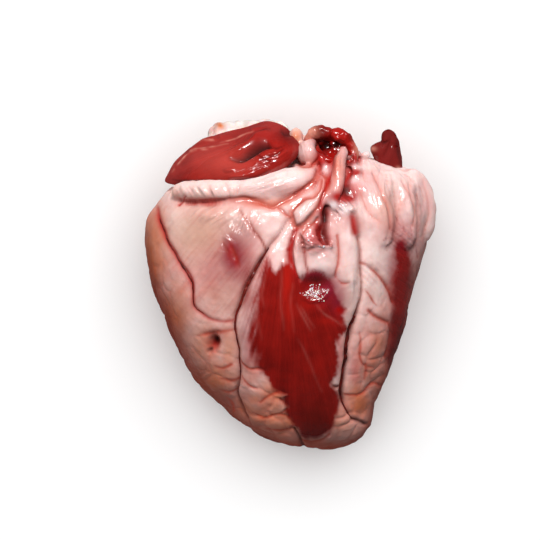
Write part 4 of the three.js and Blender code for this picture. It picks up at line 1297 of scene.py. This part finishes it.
# %% The lip and the clots
LIP_PATH = [  # pixel right, pixel down, height, radius
    (312, 147, 40.5, 1.8), (312, 136, 42.2, 1.9), (318, 132, 43, 2.1), (325, 133, 42.6, 1.9),
    (331, 136, 41.8, 1.4), (338, 135, 42.8, 1.9), (345, 138, 43, 1.8), (350, 146, 42.6, 1.3),
    (353, 154, 42.4, 1.4), (350, 163, 42.6, 1.5), (341, 167, 42.6, 1.4), (330, 163, 43.4, 1.7),
    (320, 157, 42.4, 1.8),
]
LIP_TINTS = {"pale": [(310, 133, 7, 10, 1), (358, 147, 4, 12, 0.9)]}
LIP_DARK, LIP_DARK_AT, LIP_SPECKS = 1.2, (322, 133, 7, 8), (2.4, 66)
LIP_LUMPS = [(2.2, 0.5, 61), (1.0, 0.22, 62), (0.5, 0.08, 63)]
LIP_GLOSS, LIP_SHINY = 0.7, (0.2, 0.8)

lip = piece_from("lip", *hoop([(*under_pixel(r, d, h), thick) for r, d, h, thick in LIP_PATH]))
points, normals, pixels, marks = skin_of(lip, SAG)
torn = uneven(points, *LIP_LUMPS)
move_points(lip, points + normals * torn[:, None])
add_tints(pixels, LIP_TINTS, 1, marks)
marks["blood"] = 1 - marks["pale"]
darkest = patch(pixels, *LIP_DARK_AT) * LIP_DARK
marks["maroon"] = np.maximum(mottle(points, *LIP_SPECKS), darkest)
keep_marks(lip, marks)
gloss = LIP_GLOSS * soft_step(normals[:, 2], *LIP_SHINY)
keep_fibres(lip, pixels[:, 0], pixels[:, 1], gloss)

CLOTS = [  # pixel right, pixel down, height and three radii in mm
    (322, 138, 40.2, 1.9, 2.4, 1.8), (327, 146, 39.6, 2.0, 1.8, 1.4), (334, 144, 41.6, 1.5, 1.1, 1.2),
    (338, 145, 41.2, 1.3, 1.0, 1.1), (343, 141, 41.2, 1.7, 1.9, 1.5), (345, 150, 41.6, 1.5, 2.0, 1.5),
    (329, 155, 41.8, 2.2, 2.0, 1.6), (336, 151, 41.2, 2.2, 1.4, 1.4),
]
CLOT_TINTS = {
    "clot": [(326, 146, 6.5, 5, 1), (336, 145, 6, 3.4, 1)],
    "blood": [(343, 138, 5, 4, 1), (329, 157, 7, 5, 1)],
}
CLOT_VOXEL, CLOT_SMOOTHING = 0.00022, 4
CLOT_LUMPS = [(1.4, 0.2, 64), (0.6, 0.08, 65)]

clots = welded("clots", lumps_seen(CLOTS), CLOT_VOXEL, CLOT_SMOOTHING)
points, normals, pixels, marks = skin_of(clots)
knobbly = uneven(points, *CLOT_LUMPS)
move_points(clots, points + normals * knobbly[:, None])
add_tints(pixels, CLOT_TINTS, 1, marks)
keep_marks(clots, marks)
print("lip and clots:", len(lip.data.vertices), len(clots.data.vertices), "points")

# %% [markdown]
# ## The pale wall behind the flap
# Above the flap a piece of the atrium's thin, pale lining shows, with a ragged, folded rim. It is
# a lump whose surface is gathered into folds that run up to the rim.

# %% The pale wall
WALL_SLICES = [
    (-23.6, 37, 43.6, 26, 5), (-21.6, 36, 45.2, 27, 7), (-16, 35, 46, 28.4, 8), (-10, 35, 46.3, 30, 8),
    (-4, 36, 46.2, 31, 8), (0, 37, 45, 31, 6), (1.8, 38, 43, 31, 4),
]
WALL_SLOPE, WALL_SUNK = 0.6, 0.3
FOLD_PACE, FOLD_RISE = 1.7, 0.16  # radians a mm, and mm
FOLD_BEND, FOLD_LUMPS = 4, (4.0, 71)  # radians, and size and seed
WALL_LUMPS = [(3.4, 0.4, 72), (1.2, 0.12, 73), (0.5, 0.05, 74)]
WALL_SPECKS = (2.0, 75)

wall = piece_from("pale_wall", *leaf(WALL_SLICES, WALL_SLOPE, columns=200, rows=200))
points, normals, pixels, marks = skin_of(wall, SAG)
folds = np.sin(points[:, 0] * FOLD_PACE + mottle(points, *FOLD_LUMPS) * FOLD_BEND) * FOLD_RISE
ragged = uneven(points, *WALL_LUMPS)
move_points(wall, points + normals * (folds + ragged - WALL_SUNK)[:, None])
WALL_TINTS = {
    "flush": [(212, 128, 8, 7, 0.8), (250, 126, 20, 4, 0.3)],
    "warm": [(220, 125, 4, 3, 1.0)],
}
add_tints(pixels, WALL_TINTS, 1, marks)
marks["flush"] += np.maximum(mottle(points, *WALL_SPECKS), 0) * 0.5
keep_marks(wall, marks)
print("pale wall:", len(wall.data.vertices), "points")

# %% [markdown]
# ## Vessels in the furrows
# A dark vein lies in each furrow, half sunk in the fat. It follows the furrow's path, so it comes
# from Geometry Nodes: the path becomes a curve, its thickness varies a little along it, and a
# round profile is swept along it.

# %% A tool for node trees
class Tree:
    """Adds nodes to a node tree with few words."""

    def __init__(self, tree):
        self.tree = tree

    def add(self, kind, inputs=None, **settings):
        node = self.tree.nodes.new(kind)
        for name, value in settings.items():
            setattr(node, name, value)
        self.fill(node, inputs or {})
        return node

    def fill(self, node, inputs):
        """Gives a node its inputs: a socket is linked, and a value is set."""
        for socket, value in inputs.items():
            if isinstance(value, bpy.types.NodeSocket):
                self.tree.links.new(value, node.inputs[socket])
            else:
                node.inputs[socket].default_value = value

    def read(self, name):
        """A number stored on the mesh, for a material."""
        return self.add("ShaderNodeAttribute", attribute_name=name).outputs["Fac"]

    def blend(self, amount, first, second):
        """First where amount is 0, second where it is 1."""
        mix = self.add("ShaderNodeMix", {0: amount, 6: first, 7: second}, data_type="RGBA")
        return mix.outputs[2]

    def plus(self, first, second):
        return self.add("ShaderNodeMath", {0: first, 1: second}).outputs[0]

    def times(self, first, second):
        return self.add("ShaderNodeMath", {0: first, 1: second}, operation="MULTIPLY").outputs[0]

    def spread(self, value, low, high, to_low=0.0, to_high=1.0):
        """Maps a value from one range to another, and stops at its ends."""
        given = {"Value": value, "From Min": low, "From Max": high}
        given.update({"To Min": to_low, "To Max": to_high})
        return self.add("ShaderNodeMapRange", given).outputs["Result"]

    def noise(self, place, scale, detail):
        """Soft noise at a place."""
        given = {"Vector": place, "Scale": scale, "Detail": detail}
        return self.add("ShaderNodeTexNoise", given).outputs["Fac"]

    def link(self, value, socket):
        self.tree.links.new(value, socket)

    def finish_shape(self, shape, given, result):
        """Ends a geometry tree: plain, smooth faces with the material that the tree is given."""
        plain = self.add("GeometryNodeRealizeInstances", {0: shape.outputs[0]})
        smooth = self.add("GeometryNodeSetShadeSmooth", {0: plain.outputs[0]})
        finish = {"Geometry": smooth.outputs[0], "Material": given["Material"]}
        self.link(self.add("GeometryNodeSetMaterial", finish).outputs[0], result[0])


NUMBER, PAINT, ARROW = "NodeSocketFloat", "NodeSocketColor", "NodeSocketVector"
SHAPE, FINISH = "NodeSocketGeometry", "NodeSocketMaterial"
KIND_OF = {float: NUMBER, int: "NodeSocketInt", tuple: PAINT}


def new_tree(name, kind, inputs, outputs):
    """A node group with named sockets. An input is told by its first value, or by its kind where
    it has none. The answer is (group, tree, the sockets that it is given, the sockets for its
    result)."""
    group = bpy.data.node_groups.new(name, kind)
    for label, first in inputs.items():
        socket_kind = KIND_OF.get(type(first), first)
        socket = group.interface.new_socket(label, in_out="INPUT", socket_type=socket_kind)
        if socket_kind is not first:
            socket.default_value = first
    for label, socket_kind in outputs.items():
        group.interface.new_socket(label, in_out="OUTPUT", socket_type=socket_kind)
    tree = Tree(group)
    given, result = tree.add("NodeGroupInput").outputs, tree.add("NodeGroupOutput").inputs
    return group, tree, given, result


def grow(name, source, group, sizes):
    """Runs a node tree on a mesh and keeps the result as a plain mesh."""
    carrier = placed(name + "_source", source)
    modifier = carrier.modifiers.new(name, "NODES")
    modifier.node_group = group
    for item in group.interface.items_tree:
        if item.in_out == "INPUT" and item.name in sizes:
            modifier[item.identifier] = sizes[item.name]
    mesh = settled_mesh(carrier, name)
    bpy.data.objects.remove(carrier)
    return placed(name, mesh)


# %% The vein tree
VEIN_SIDES = 10
SWELL_SCALE = 450.0

vein_group, tree, given, result = new_tree(
    "vein along a path",
    "GeometryNodeTree",
    {
        "Geometry": SHAPE,
        "Radius": 0.0004,
        "Unevenness": 0.4,
        "Spacing": 0.0004,
        "Material": FINISH,
    },
    {"Geometry": SHAPE},
)
path = tree.add("GeometryNodeMeshToCurve", {"Mesh": given["Geometry"]})
spaced = {"Curve": path.outputs[0], "Length": given["Spacing"]}
path = tree.add("GeometryNodeResampleCurve", spaced, mode="LENGTH")
swell = tree.add("ShaderNodeTexNoise", {"Scale": SWELL_SCALE, "Detail": 1.0})
swell = tree.spread(swell.outputs[0], 0.25, 0.75, -1.0, 1.0)
share = tree.times(swell, given["Unevenness"])
strength = tree.add("GeometryNodeInputNamedAttribute", {"Name": "strength"}, data_type="FLOAT")
radius = tree.times(tree.plus(share, 1.0), given["Radius"])
radius = tree.times(radius, strength.outputs["Attribute"])
round_profile = {"Resolution": VEIN_SIDES, "Radius": 1.0}
profile = tree.add("GeometryNodeCurvePrimitiveCircle", round_profile)
tube = tree.add(
    "GeometryNodeCurveToMesh",
    {"Curve": path.outputs[0], "Profile Curve": profile.outputs[0], "Scale": radius, "Fill Caps": True},
)
tree.finish_shape(tube, given, result)


# %% Paths at the bottom of a crease
PATH_STEP = 1.5  # pixels between places
NEAREST = 7  # points of the skin that each place is the mean of
VEIN_SUNK = 0.1  # mm

shown = np.where(flesh_front > 0.5)[0]
drawn_at = KDTree(len(shown))
for i in shown:
    drawn_at.insert((*flesh_drawn[i], 0), int(i))
drawn_at.balance()


def along_crease(corners, sunk):
    """A path in the picture as points at the bottom of its crease, in millimetres, with its
    strength. Each is the mean of the skin's points that were drawn nearest to it."""
    found = []
    for across, down, strength in smooth_line(corners, PATH_STEP):
        near = [index for _, index, _ in drawn_at.find_n((across, down, 0), NEAREST)]
        found.append((*flesh_shaped[near].mean(axis=0), strength))
    found = np.array(found)
    found[:, 2] -= sunk
    return found


def path_mesh(name, lines):
    """Open paths as one mesh of edges, with each point's strength."""
    mesh = bpy.data.meshes.new(name)
    edges, start = [], 0
    for line in lines:
        edges += [(start + i, start + i + 1) for i in range(len(line) - 1)]
        start += len(line)
    everything = np.vstack(lines)
    mesh.from_pydata((everything[:, :3] / 1000).tolist(), edges, [])
    keep(mesh, "strength", everything[:, 3])
    return mesh


VEINS = {
    "left furrow": [
        (268, 247, 0.5), (258, 264, 1.1), (249, 281, 1.2), (241, 299), (235, 315, 0.8),
        (234, 328, 0.6), (236, 345, 0.4), (238, 362, 0.4), (238, 380, 0.35), (237, 396, 0.25),
    ],
    "margin": [
        (158, 218, 0.3), (163, 234, 0.4), (172, 250, 0.5), (179, 262, 0.6), (187, 274, 0.8),
        (191, 284, 0.7), (192, 297, 0.5), (194, 306, 0.4), (203, 314, 0.3),
    ],
    "right furrow": [
        (358, 318, 0.6), (353, 332, 1.6), (349, 348, 1.7), (347, 364, 1.3), (345, 380), (343, 396, 0.9),
        (347, 410, 0.5), (353, 420, 0.4),
    ],
}
vein_paths = path_mesh("vein_paths", [along_crease(corners, VEIN_SUNK) for corners in VEINS.values()])
print("vein path points:", len(vein_paths.vertices))

# %% [markdown]
# ## Froth and drops
# The wet pit is full of small bright bubbles, and beads of fluid stand in the cleft and beside the
# vessel. They repeat, so a second tree scatters them where a stored number says how thick they lie,
# and gives each a size by chance from a fixed seed.

# %% The bead tree
BEAD_FINENESS = 3

bead_group, tree, given, result = new_tree(
    "beads on wet flesh",
    "GeometryNodeTree",
    {
        "Geometry": SHAPE,
        "Beads per square metre": 2e6,
        "Smallest": 0.0001,
        "Largest": 0.0004,
        "Seed": 3,
        "Material": FINISH,
    },
    {"Geometry": SHAPE},
)
wet = tree.add("GeometryNodeInputNamedAttribute", {"Name": "beads"}, data_type="FLOAT")
density = tree.times(wet.outputs["Attribute"], given["Beads per square metre"])
scatter = tree.add(
    "GeometryNodeDistributePointsOnFaces",
    {"Mesh": given["Geometry"], "Density": density, "Seed": given["Seed"]},
)
size = tree.add(
    "FunctionNodeRandomValue",
    {2: given["Smallest"], 3: given["Largest"], "Seed": given["Seed"]},
    data_type="FLOAT",
)
bead = tree.add("GeometryNodeMeshIcoSphere", {"Radius": 1.0, "Subdivisions": BEAD_FINENESS})
beads = tree.add(
    "GeometryNodeInstanceOnPoints",
    {"Points": scatter.outputs["Points"], "Instance": bead.outputs["Mesh"], "Scale": size.outputs[1]},
)
tree.finish_shape(beads, given, result)


# %% Where beads stand
BEAD_SPOTS = [
    (314, 292, 10, 5.6, 1.0), (321, 298, 5, 3.4, 0.7), (294, 293, 4, 1.4, 0.3), (322, 247, 9, 2, 0.3),
    (308, 241, 4, 6, 0.12), (341, 203, 4, 2, 0.25), (355, 178, 3, 3, 0.3), (324, 168, 4, 4, 0.2),
]


def wet_faces(name, piece, spots, least=0.08):
    """The faces of a piece near wet spots, as a mesh with how thick the beads lie."""
    points, normals = points_of(piece)
    pixels = seen_at(points)
    wet = patches(pixels, spots) * (normals[:, 2] > FACES_UP)
    chosen = [tuple(f.vertices) for f in piece.data.polygons if min(wet[v] for v in f.vertices) > least]
    used = sorted({v for face in chosen for v in face})
    place = {v: i for i, v in enumerate(used)}
    mesh = bpy.data.meshes.new(name)
    mesh.from_pydata((points[used] / 1000).tolist(), [], [[place[v] for v in face] for face in chosen])
    keep(mesh, "beads", wet[used])
    return mesh


froth_faces = wet_faces("froth_faces", flesh, BEAD_SPOTS)
print("wet faces:", len(froth_faces.polygons))

# %% [markdown]
# ## Materials
# Raw flesh looks alive because light goes into it, and because it is wet. Each material is one
# Principled shader with some subsurface light. A stored number, gloss, says where it is smooth and
# has a thin clear coat. What else changes over the surface comes from node groups that several
# materials share: one for fat, one for muscle fibres and one for the film of fluid.

# %% A colour from its code
def colour(code):
    """A colour from its six-figure code, as Blender's linear numbers."""
    parts = [int(code[i : i + 2], 16) / 255 for i in (0, 2, 4)]
    return (*[p / 12.92 if p <= 0.04045 else ((p + 0.055) / 1.055) ** 2.4 for p in parts], 1)


# %% [markdown]
# Fat is made of small globules under a thin skin, with hair-fine vessels in it. The group mixes
# cream, pink and tan by how warm and how flushed the place is, and gives the height of the
# globules for the bump.

# %% The fat group
fat_group, tree, given, result = new_tree(
    "raw fat",
    "ShaderNodeTree",
    {
        "Place": ARROW,
        "Warm": 0.0,
        "Flush": 0.0,
        "Cream": colour("ebd3cf"),
        "Pink": colour("cf8383"),
        "Tan": colour("d06c2b"),
    },
    {"Colour": PAINT, "Height": NUMBER},
)
HAIR_VESSELS = colour("c07468")
BROAD, FINE = (90.0, 4.0), (420.0, 5.0)  # scale and detail
GLOBULE_SCALE = 620.0

broad = tree.noise(given["Place"], *BROAD)
fine = tree.noise(given["Place"], *FINE)
globule_places = {"Vector": given["Place"], "Scale": GLOBULE_SCALE}
globules = tree.add("ShaderNodeTexVoronoi", globule_places, feature="SMOOTH_F1")
flushed = tree.plus(given["Flush"], tree.spread(broad, 0.5, 0.75, 0.0, 0.35))
paint = tree.blend(tree.spread(flushed, 0, 1), given["Cream"], given["Pink"])
warmed = tree.times(given["Warm"], tree.spread(broad, 0.35, 0.6, 0.65, 1.0))
paint = tree.blend(warmed, paint, given["Tan"])
paint = tree.blend(tree.spread(fine, 0.42, 0.7, 0.0, 0.2), paint, HAIR_VESSELS)
tree.link(paint, result["Colour"])
height = tree.plus(tree.times(globules.outputs["Distance"], 0.5), fine)
tree.link(height, result["Height"])

# %% [markdown]
# Muscle is a bundle of fibres. A noise that is very long in the direction of the fibres and thin
# across them gives streaks of light and dark red; the same streaks are the bump.

# %% The muscle group
muscle_group, tree, given, result = new_tree(
    "muscle fibres",
    "ShaderNodeTree",
    {
        "Across": 0.0,
        "Along": 0.0,
        "Place": ARROW,
        "Dark": colour("6c0c08"),
        "Light": colour("981812"),
    },
    {"Colour": PAINT, "Height": NUMBER},
)


def fibre_noise(tree, given, across_scale, along_scale, detail):
    """Noise in long streaks along the fibres."""
    across = tree.times(given["Across"], across_scale)
    along = tree.times(given["Along"], along_scale)
    place = tree.add("ShaderNodeCombineXYZ", {0: across, 1: along})
    inputs = {"Vector": place.outputs[0], "Scale": 1.0, "Detail": detail, "Distortion": 0.3}
    return tree.add("ShaderNodeTexNoise", inputs).outputs["Fac"]


BUNDLES, STRANDS = (0.16, 0.012, 3.0), (0.9, 0.03, 4.0)  # scales across and along, and detail
CLOUDS = (130.0, 4.0)  # scale and detail
BUNDLE_SHARE, STRAND_SHARE, CLOUD_SHARE = 0.35, 0.2, 0.45

bundles = fibre_noise(tree, given, *BUNDLES)
strands = fibre_noise(tree, given, *STRANDS)
cloud = tree.noise(given["Place"], *CLOUDS)
streak = tree.plus(tree.times(bundles, BUNDLE_SHARE), tree.times(strands, STRAND_SHARE))
streak = tree.plus(streak, tree.times(cloud, CLOUD_SHARE))
paint = tree.blend(tree.spread(streak, 0.36, 0.64), given["Dark"], given["Light"])
tree.link(paint, result["Colour"])
tree.link(tree.plus(strands, bundles), result["Height"])


# %% [markdown]
# A film of fluid lies over wet flesh and gathers in streaks. Only its height matters. It goes
# into the bump, so the smooth flesh below the coat glints in short streaks, as wet skin does.

# %% The wet film group
film_group, tree, given, result = new_tree(
    "wet film",
    "ShaderNodeTree",
    {"Across": 0.0, "Along": 0.0, "Wet": 0.0, "Thickness": 2.0},
    {"Height": NUMBER},
)
FILM_STREAKS = (0.22, 0.045, 0.7)  # little detail keeps the glints crisp

film = fibre_noise(tree, given, *FILM_STREAKS)
film = tree.times(film, tree.times(given["Wet"], given["Thickness"]))
tree.link(film, result["Height"])


# %% The wet flesh shader
MOST_COAT, FULL_GLOSS = 0.7, 0.8
DULL_ROUGHNESS, WET_ROUGHNESS = 0.85, 0.17


def wet_material(name, subsurface=0.2, coat=0.0, roughness=0.5):
    """A Principled shader set for raw, wet flesh, and the place on the piece. The answer is
    (material, tree, shader, place)."""
    material = bpy.data.materials.new(name)
    material.use_nodes = True
    material.node_tree.nodes.clear()
    tree = Tree(material.node_tree)
    out = tree.add("ShaderNodeOutputMaterial")
    shader = tree.add(
        "ShaderNodeBsdfPrincipled",
        {
            "Roughness": roughness,
            "Subsurface Weight": subsurface,
            "Subsurface Radius": (1.0, 0.35, 0.2),
            "Subsurface Scale": 0.001,
            "Coat Weight": coat,
            "Coat Roughness": 0.08,
            "Specular IOR Level": 0.22,
        },
    )
    tree.link(shader.outputs[0], out.inputs[0])
    return material, tree, shader, tree.add("ShaderNodeTexCoord").outputs["Object"]


def add_bump(tree, shader, height, strength, distance):
    bump = tree.add("ShaderNodeBump", {"Height": height, "Strength": strength, "Distance": distance})
    tree.link(bump.outputs[0], shader.inputs["Normal"])


def wet_by_gloss(tree, shader):
    """Where a piece is glossy it has a wet coat and is smooth; elsewhere it is dull."""
    gloss = tree.read("gloss")
    tree.link(tree.times(gloss, MOST_COAT), shader.inputs["Coat Weight"])
    rough = tree.spread(gloss, 0.0, FULL_GLOSS, DULL_ROUGHNESS, WET_ROUGHNESS)
    tree.link(rough, shader.inputs["Roughness"])


def add_group(tree, group, values):
    node = tree.add("ShaderNodeGroup", node_tree=group)
    tree.fill(node, values)
    return node


def film_height(tree, thickness):
    """The height of the wet film that is stored on a piece."""
    values = {"Across": tree.read("film_across"), "Along": tree.read("film_along")}
    values.update({"Wet": tree.read("wet"), "Thickness": thickness})
    return add_group(tree, film_group, values).outputs["Height"]


def stained(tree, paint, stains):
    """Lays stains over a paint. A stain is (stored mark, colour code or socket, most)."""
    for name, shade, most in stains:
        shade = colour(shade) if isinstance(shade, str) else shade
        paint = tree.blend(tree.times(tree.read(name), most), paint, shade)
    return paint


# %% Fat and muscle of the body
def add_fat(tree, place, **paints):
    """The fat group, told by the marks how warm and how flushed each place is."""
    return add_group(
        tree,
        fat_group,
        {"Place": place, "Warm": tree.read("warm"), "Flush": tree.read("flush"), **paints},
    )


def add_fibres(tree, place, **paints):
    """The muscle group, told by the stored places how its fibres run."""
    ways = {"Across": tree.read("fibre_across"), "Along": tree.read("fibre_along")}
    return add_group(tree, muscle_group, {"Place": place, **ways, **paints})


flesh_material, tree, shader, place = wet_material("fat and muscle")
fat = add_fat(tree, place)
fibres = add_fibres(tree, place)
STAINS = [
    # A duller beige, partly painted shade.
    ("dull_beige_and_shade", "b4907c", 0.8),
    ("halo", "c86452", 0.6),
    # The next two stains are painted shade on the lower sides.
    ("painted_rim_shade", "8e3016", 0.85),
    ("edge", "6c1a0c", 0.75),
    ("rust", "ae3e2a", 0.8),
    ("muscle", fibres.outputs["Colour"], 1.0),
    ("bright", "b41a10", 0.75),
    ("pale", "b8625a", 0.5),
    ("bruise", "7a1a2c", 0.9),
    ("maroon", "80281c", 0.8),
    ("blood", "a00d0a", 0.95),
    ("dark", "40100c", 0.85),
    # Pale tissue, and in places painted highlights.
    ("white_tissue_and_glint", "f2e4e4", 0.85),
    ("clot", "1c0403", 0.97),
]
tree.link(stained(tree, fat.outputs["Colour"], STAINS), shader.inputs["Base Color"])
wet_by_gloss(tree, shader)
height = tree.add(
    "ShaderNodeMix",
    {0: tree.read("muscle"), 2: fat.outputs["Height"], 3: fibres.outputs["Height"]},
    data_type="FLOAT",
).outputs[0]
height = tree.plus(height, film_height(tree, thickness=6.5))
add_bump(tree, shader, height, strength=0.45, distance=0.0004)
flesh.data.materials.append(flesh_material)

# %% [markdown]
# The flap, the ear and the torn lip are bare atrial muscle: darker, smoother and wetter than the
# body, with pale fibres where they were cut.

# %% Muscle of the atria
atrium_material, tree, shader, place = wet_material("atrial muscle", subsurface=0.1)
fibres = add_fibres(tree, place, Dark=colour("7c110d"), Light=colour("9c211b"))
STAINS = [
    ("flush", "c4564c", 0.5),
    ("blood", "9c1410", 0.8),
    ("maroon", "5e0a08", 0.9),
    # Pale: cut fibres on the flap, a pale lip, and painted highlights on the ear.
    ("pale", "dc9480", 0.85),
    ("dark", "4a0706", 0.8),
    ("clot", "1c0303", 0.95),
]
tree.link(stained(tree, fibres.outputs["Colour"], STAINS), shader.inputs["Base Color"])
wet_by_gloss(tree, shader)
height = tree.plus(fibres.outputs["Height"], film_height(tree, thickness=6.0))
add_bump(tree, shader, height, strength=0.2, distance=0.0004)
for piece in (flap, ear, lip):
    piece.data.materials.append(atrium_material)

# %% Pale lining, clots, veins and froth
def lumpy_paint(tree, place, scale, detail, low, high, first, second):
    """Soft lumps in two colours. The answer is (paint, how high the lumps stand)."""
    lumps = tree.noise(place, scale, detail)
    return tree.blend(tree.spread(lumps, low, high), colour(first), colour(second)), lumps


look = {"subsurface": 0.4, "coat": 0.35, "roughness": 0.4}
lining_material, tree, shader, place = wet_material("pale lining", **look)
lining = add_fat(tree, place, Cream=colour("efe6e0"), Pink=colour("e0aaa0"))
tree.link(lining.outputs["Colour"], shader.inputs["Base Color"])
add_bump(tree, shader, lining.outputs["Height"], strength=0.4, distance=0.0003)
wall.data.materials.append(lining_material)

look = {"subsurface": 0.05, "coat": 1.0, "roughness": 0.25}
clot_material, tree, shader, place = wet_material("clotted blood", **look)
paint, lumps = lumpy_paint(tree, place, 900.0, 3.0, 0.35, 0.65, "6a0806", "a0120e")
paint = stained(tree, paint, [("blood", "b0140e", 0.8), ("clot", "0c0202", 1.0)])
tree.link(paint, shader.inputs["Base Color"])
add_bump(tree, shader, lumps, strength=0.3, distance=0.0003)
clots.data.materials.append(clot_material)

look = {"subsurface": 0.1, "coat": 0.2, "roughness": 0.5}
vein_material, tree, shader, place = wet_material("dark vein", **look)
paint, lumps = lumpy_paint(tree, place, 350.0, 3.0, 0.35, 0.7, "420d0a", "7a2018")
tree.link(paint, shader.inputs["Base Color"])
add_bump(tree, shader, lumps, strength=0.2, distance=0.0002)

look = {"subsurface": 0.4, "coat": 1.0, "roughness": 0.15}
froth_material, tree, shader, place = wet_material("froth", **look)
paint, _ = lumpy_paint(tree, place, 500.0, 2.0, 0.4, 0.6, "e6bab6", "fcf6f5")
tree.link(paint, shader.inputs["Base Color"])

# %% Grow the veins and the beads
VEIN_SIZES = {"Radius": 0.00047, "Unevenness": 0.35, "Material": vein_material}
BEAD_SIZES = {"Beads per square metre": 6e6, "Smallest": 0.00007, "Largest": 0.00027, "Seed": 3}
veins = grow("veins", vein_paths, vein_group, VEIN_SIZES)
froth = grow("froth", froth_faces, bead_group, {**BEAD_SIZES, "Material": froth_material})
print("veins:", len(veins.data.vertices), "points, froth:", len(froth.data.vertices), "points")

# %% [markdown]
# ## Light and floor
# The light in the picture comes from above the base: the fat there is almost white, and the
# apex and the lower rim fall into brown shade. One small key light gives the crisp wet glints,
# and a still smaller one at the left gives those on slopes that face left. A weak fill from the
# left opens the shade, and isn't mirrored in the wet rim. All three light only the heart, and a
# wide soft light above lights only the floor, so the floor stays pale and plain.

# %% Floor and lights
FLOOR_HALF = 2  # metres
LIT_PLACE = Vector((0, 0, 0.03))  # the middle of the heart
SKY = 0.045  # strength of the even white light from all round

floor_mesh = bpy.data.meshes.new("floor")
corners = [(x * FLOOR_HALF, y * FLOOR_HALF, 0) for x, y in ((-1, -1), (1, -1), (1, 1), (-1, 1))]
floor_mesh.from_pydata(corners, [], [(0, 1, 2, 3)])
floor = placed("floor", floor_mesh)
floor_material = bpy.data.materials.new("pale floor")
floor_material.use_nodes = True
floor_shader = floor_material.node_tree.nodes["Principled BSDF"]
pale = {"Base Color": (0.9, 0.9, 0.9, 1), "Roughness": 0.8, "Specular IOR Level": 0.2}
for name, value in pale.items():
    floor_shader.inputs[name].default_value = value
floor.data.materials.append(floor_material)
floor.visible_glossy = False  # wet flesh would mirror it along every steep side

pieces = [flesh, flap, ear, lip, clots, wall, veins, froth]


def soft_light(name, place, size, power, lit, mirrored=True):
    """An area light that faces the heart and lights only some objects."""
    light = bpy.data.lights.new(name, "AREA")
    light.size, light.energy = size, power
    lamp = placed(name, light)
    lamp.location = place
    lamp.rotation_euler = (LIT_PLACE - Vector(place)).to_track_quat("-Z", "Y").to_euler()
    lamp.visible_glossy = mirrored
    receivers = bpy.data.collections.new(name + " lights")
    for one in lit:
        receivers.objects.link(one)
    lamp.light_linking.receiver_collection = receivers


soft_light("key", (0.05, 0.4, 0.67), size=0.16, power=7.2, lit=pieces)
soft_light("small light", (-0.29, 0.29, 0.675), size=0.11, power=1.0, lit=[flesh, flap, lip])
soft_light("left fill", (-0.5, -0.25, 0.45), size=0.3, power=0.9, lit=pieces, mirrored=False)
soft_light("floor light", (0, 0.35, 1.6), size=3.0, power=66, lit=[floor])
world = bpy.data.worlds.new("studio")
world.use_nodes = True
sky = world.node_tree.nodes["Background"]
sky.inputs["Color"].default_value = (1, 1, 1, 1)
sky.inputs["Strength"].default_value = SKY
scene.world = world
scene.view_settings.view_transform = "Standard"

# %% Tie the pieces to the frame
for piece in pieces:
    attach(piece, "root")
    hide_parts("heart")
    triangles = sum(len(face.vertices) - 2 for face in piece.data.polygons)
    print(piece.name, "has", triangles, "triangles")
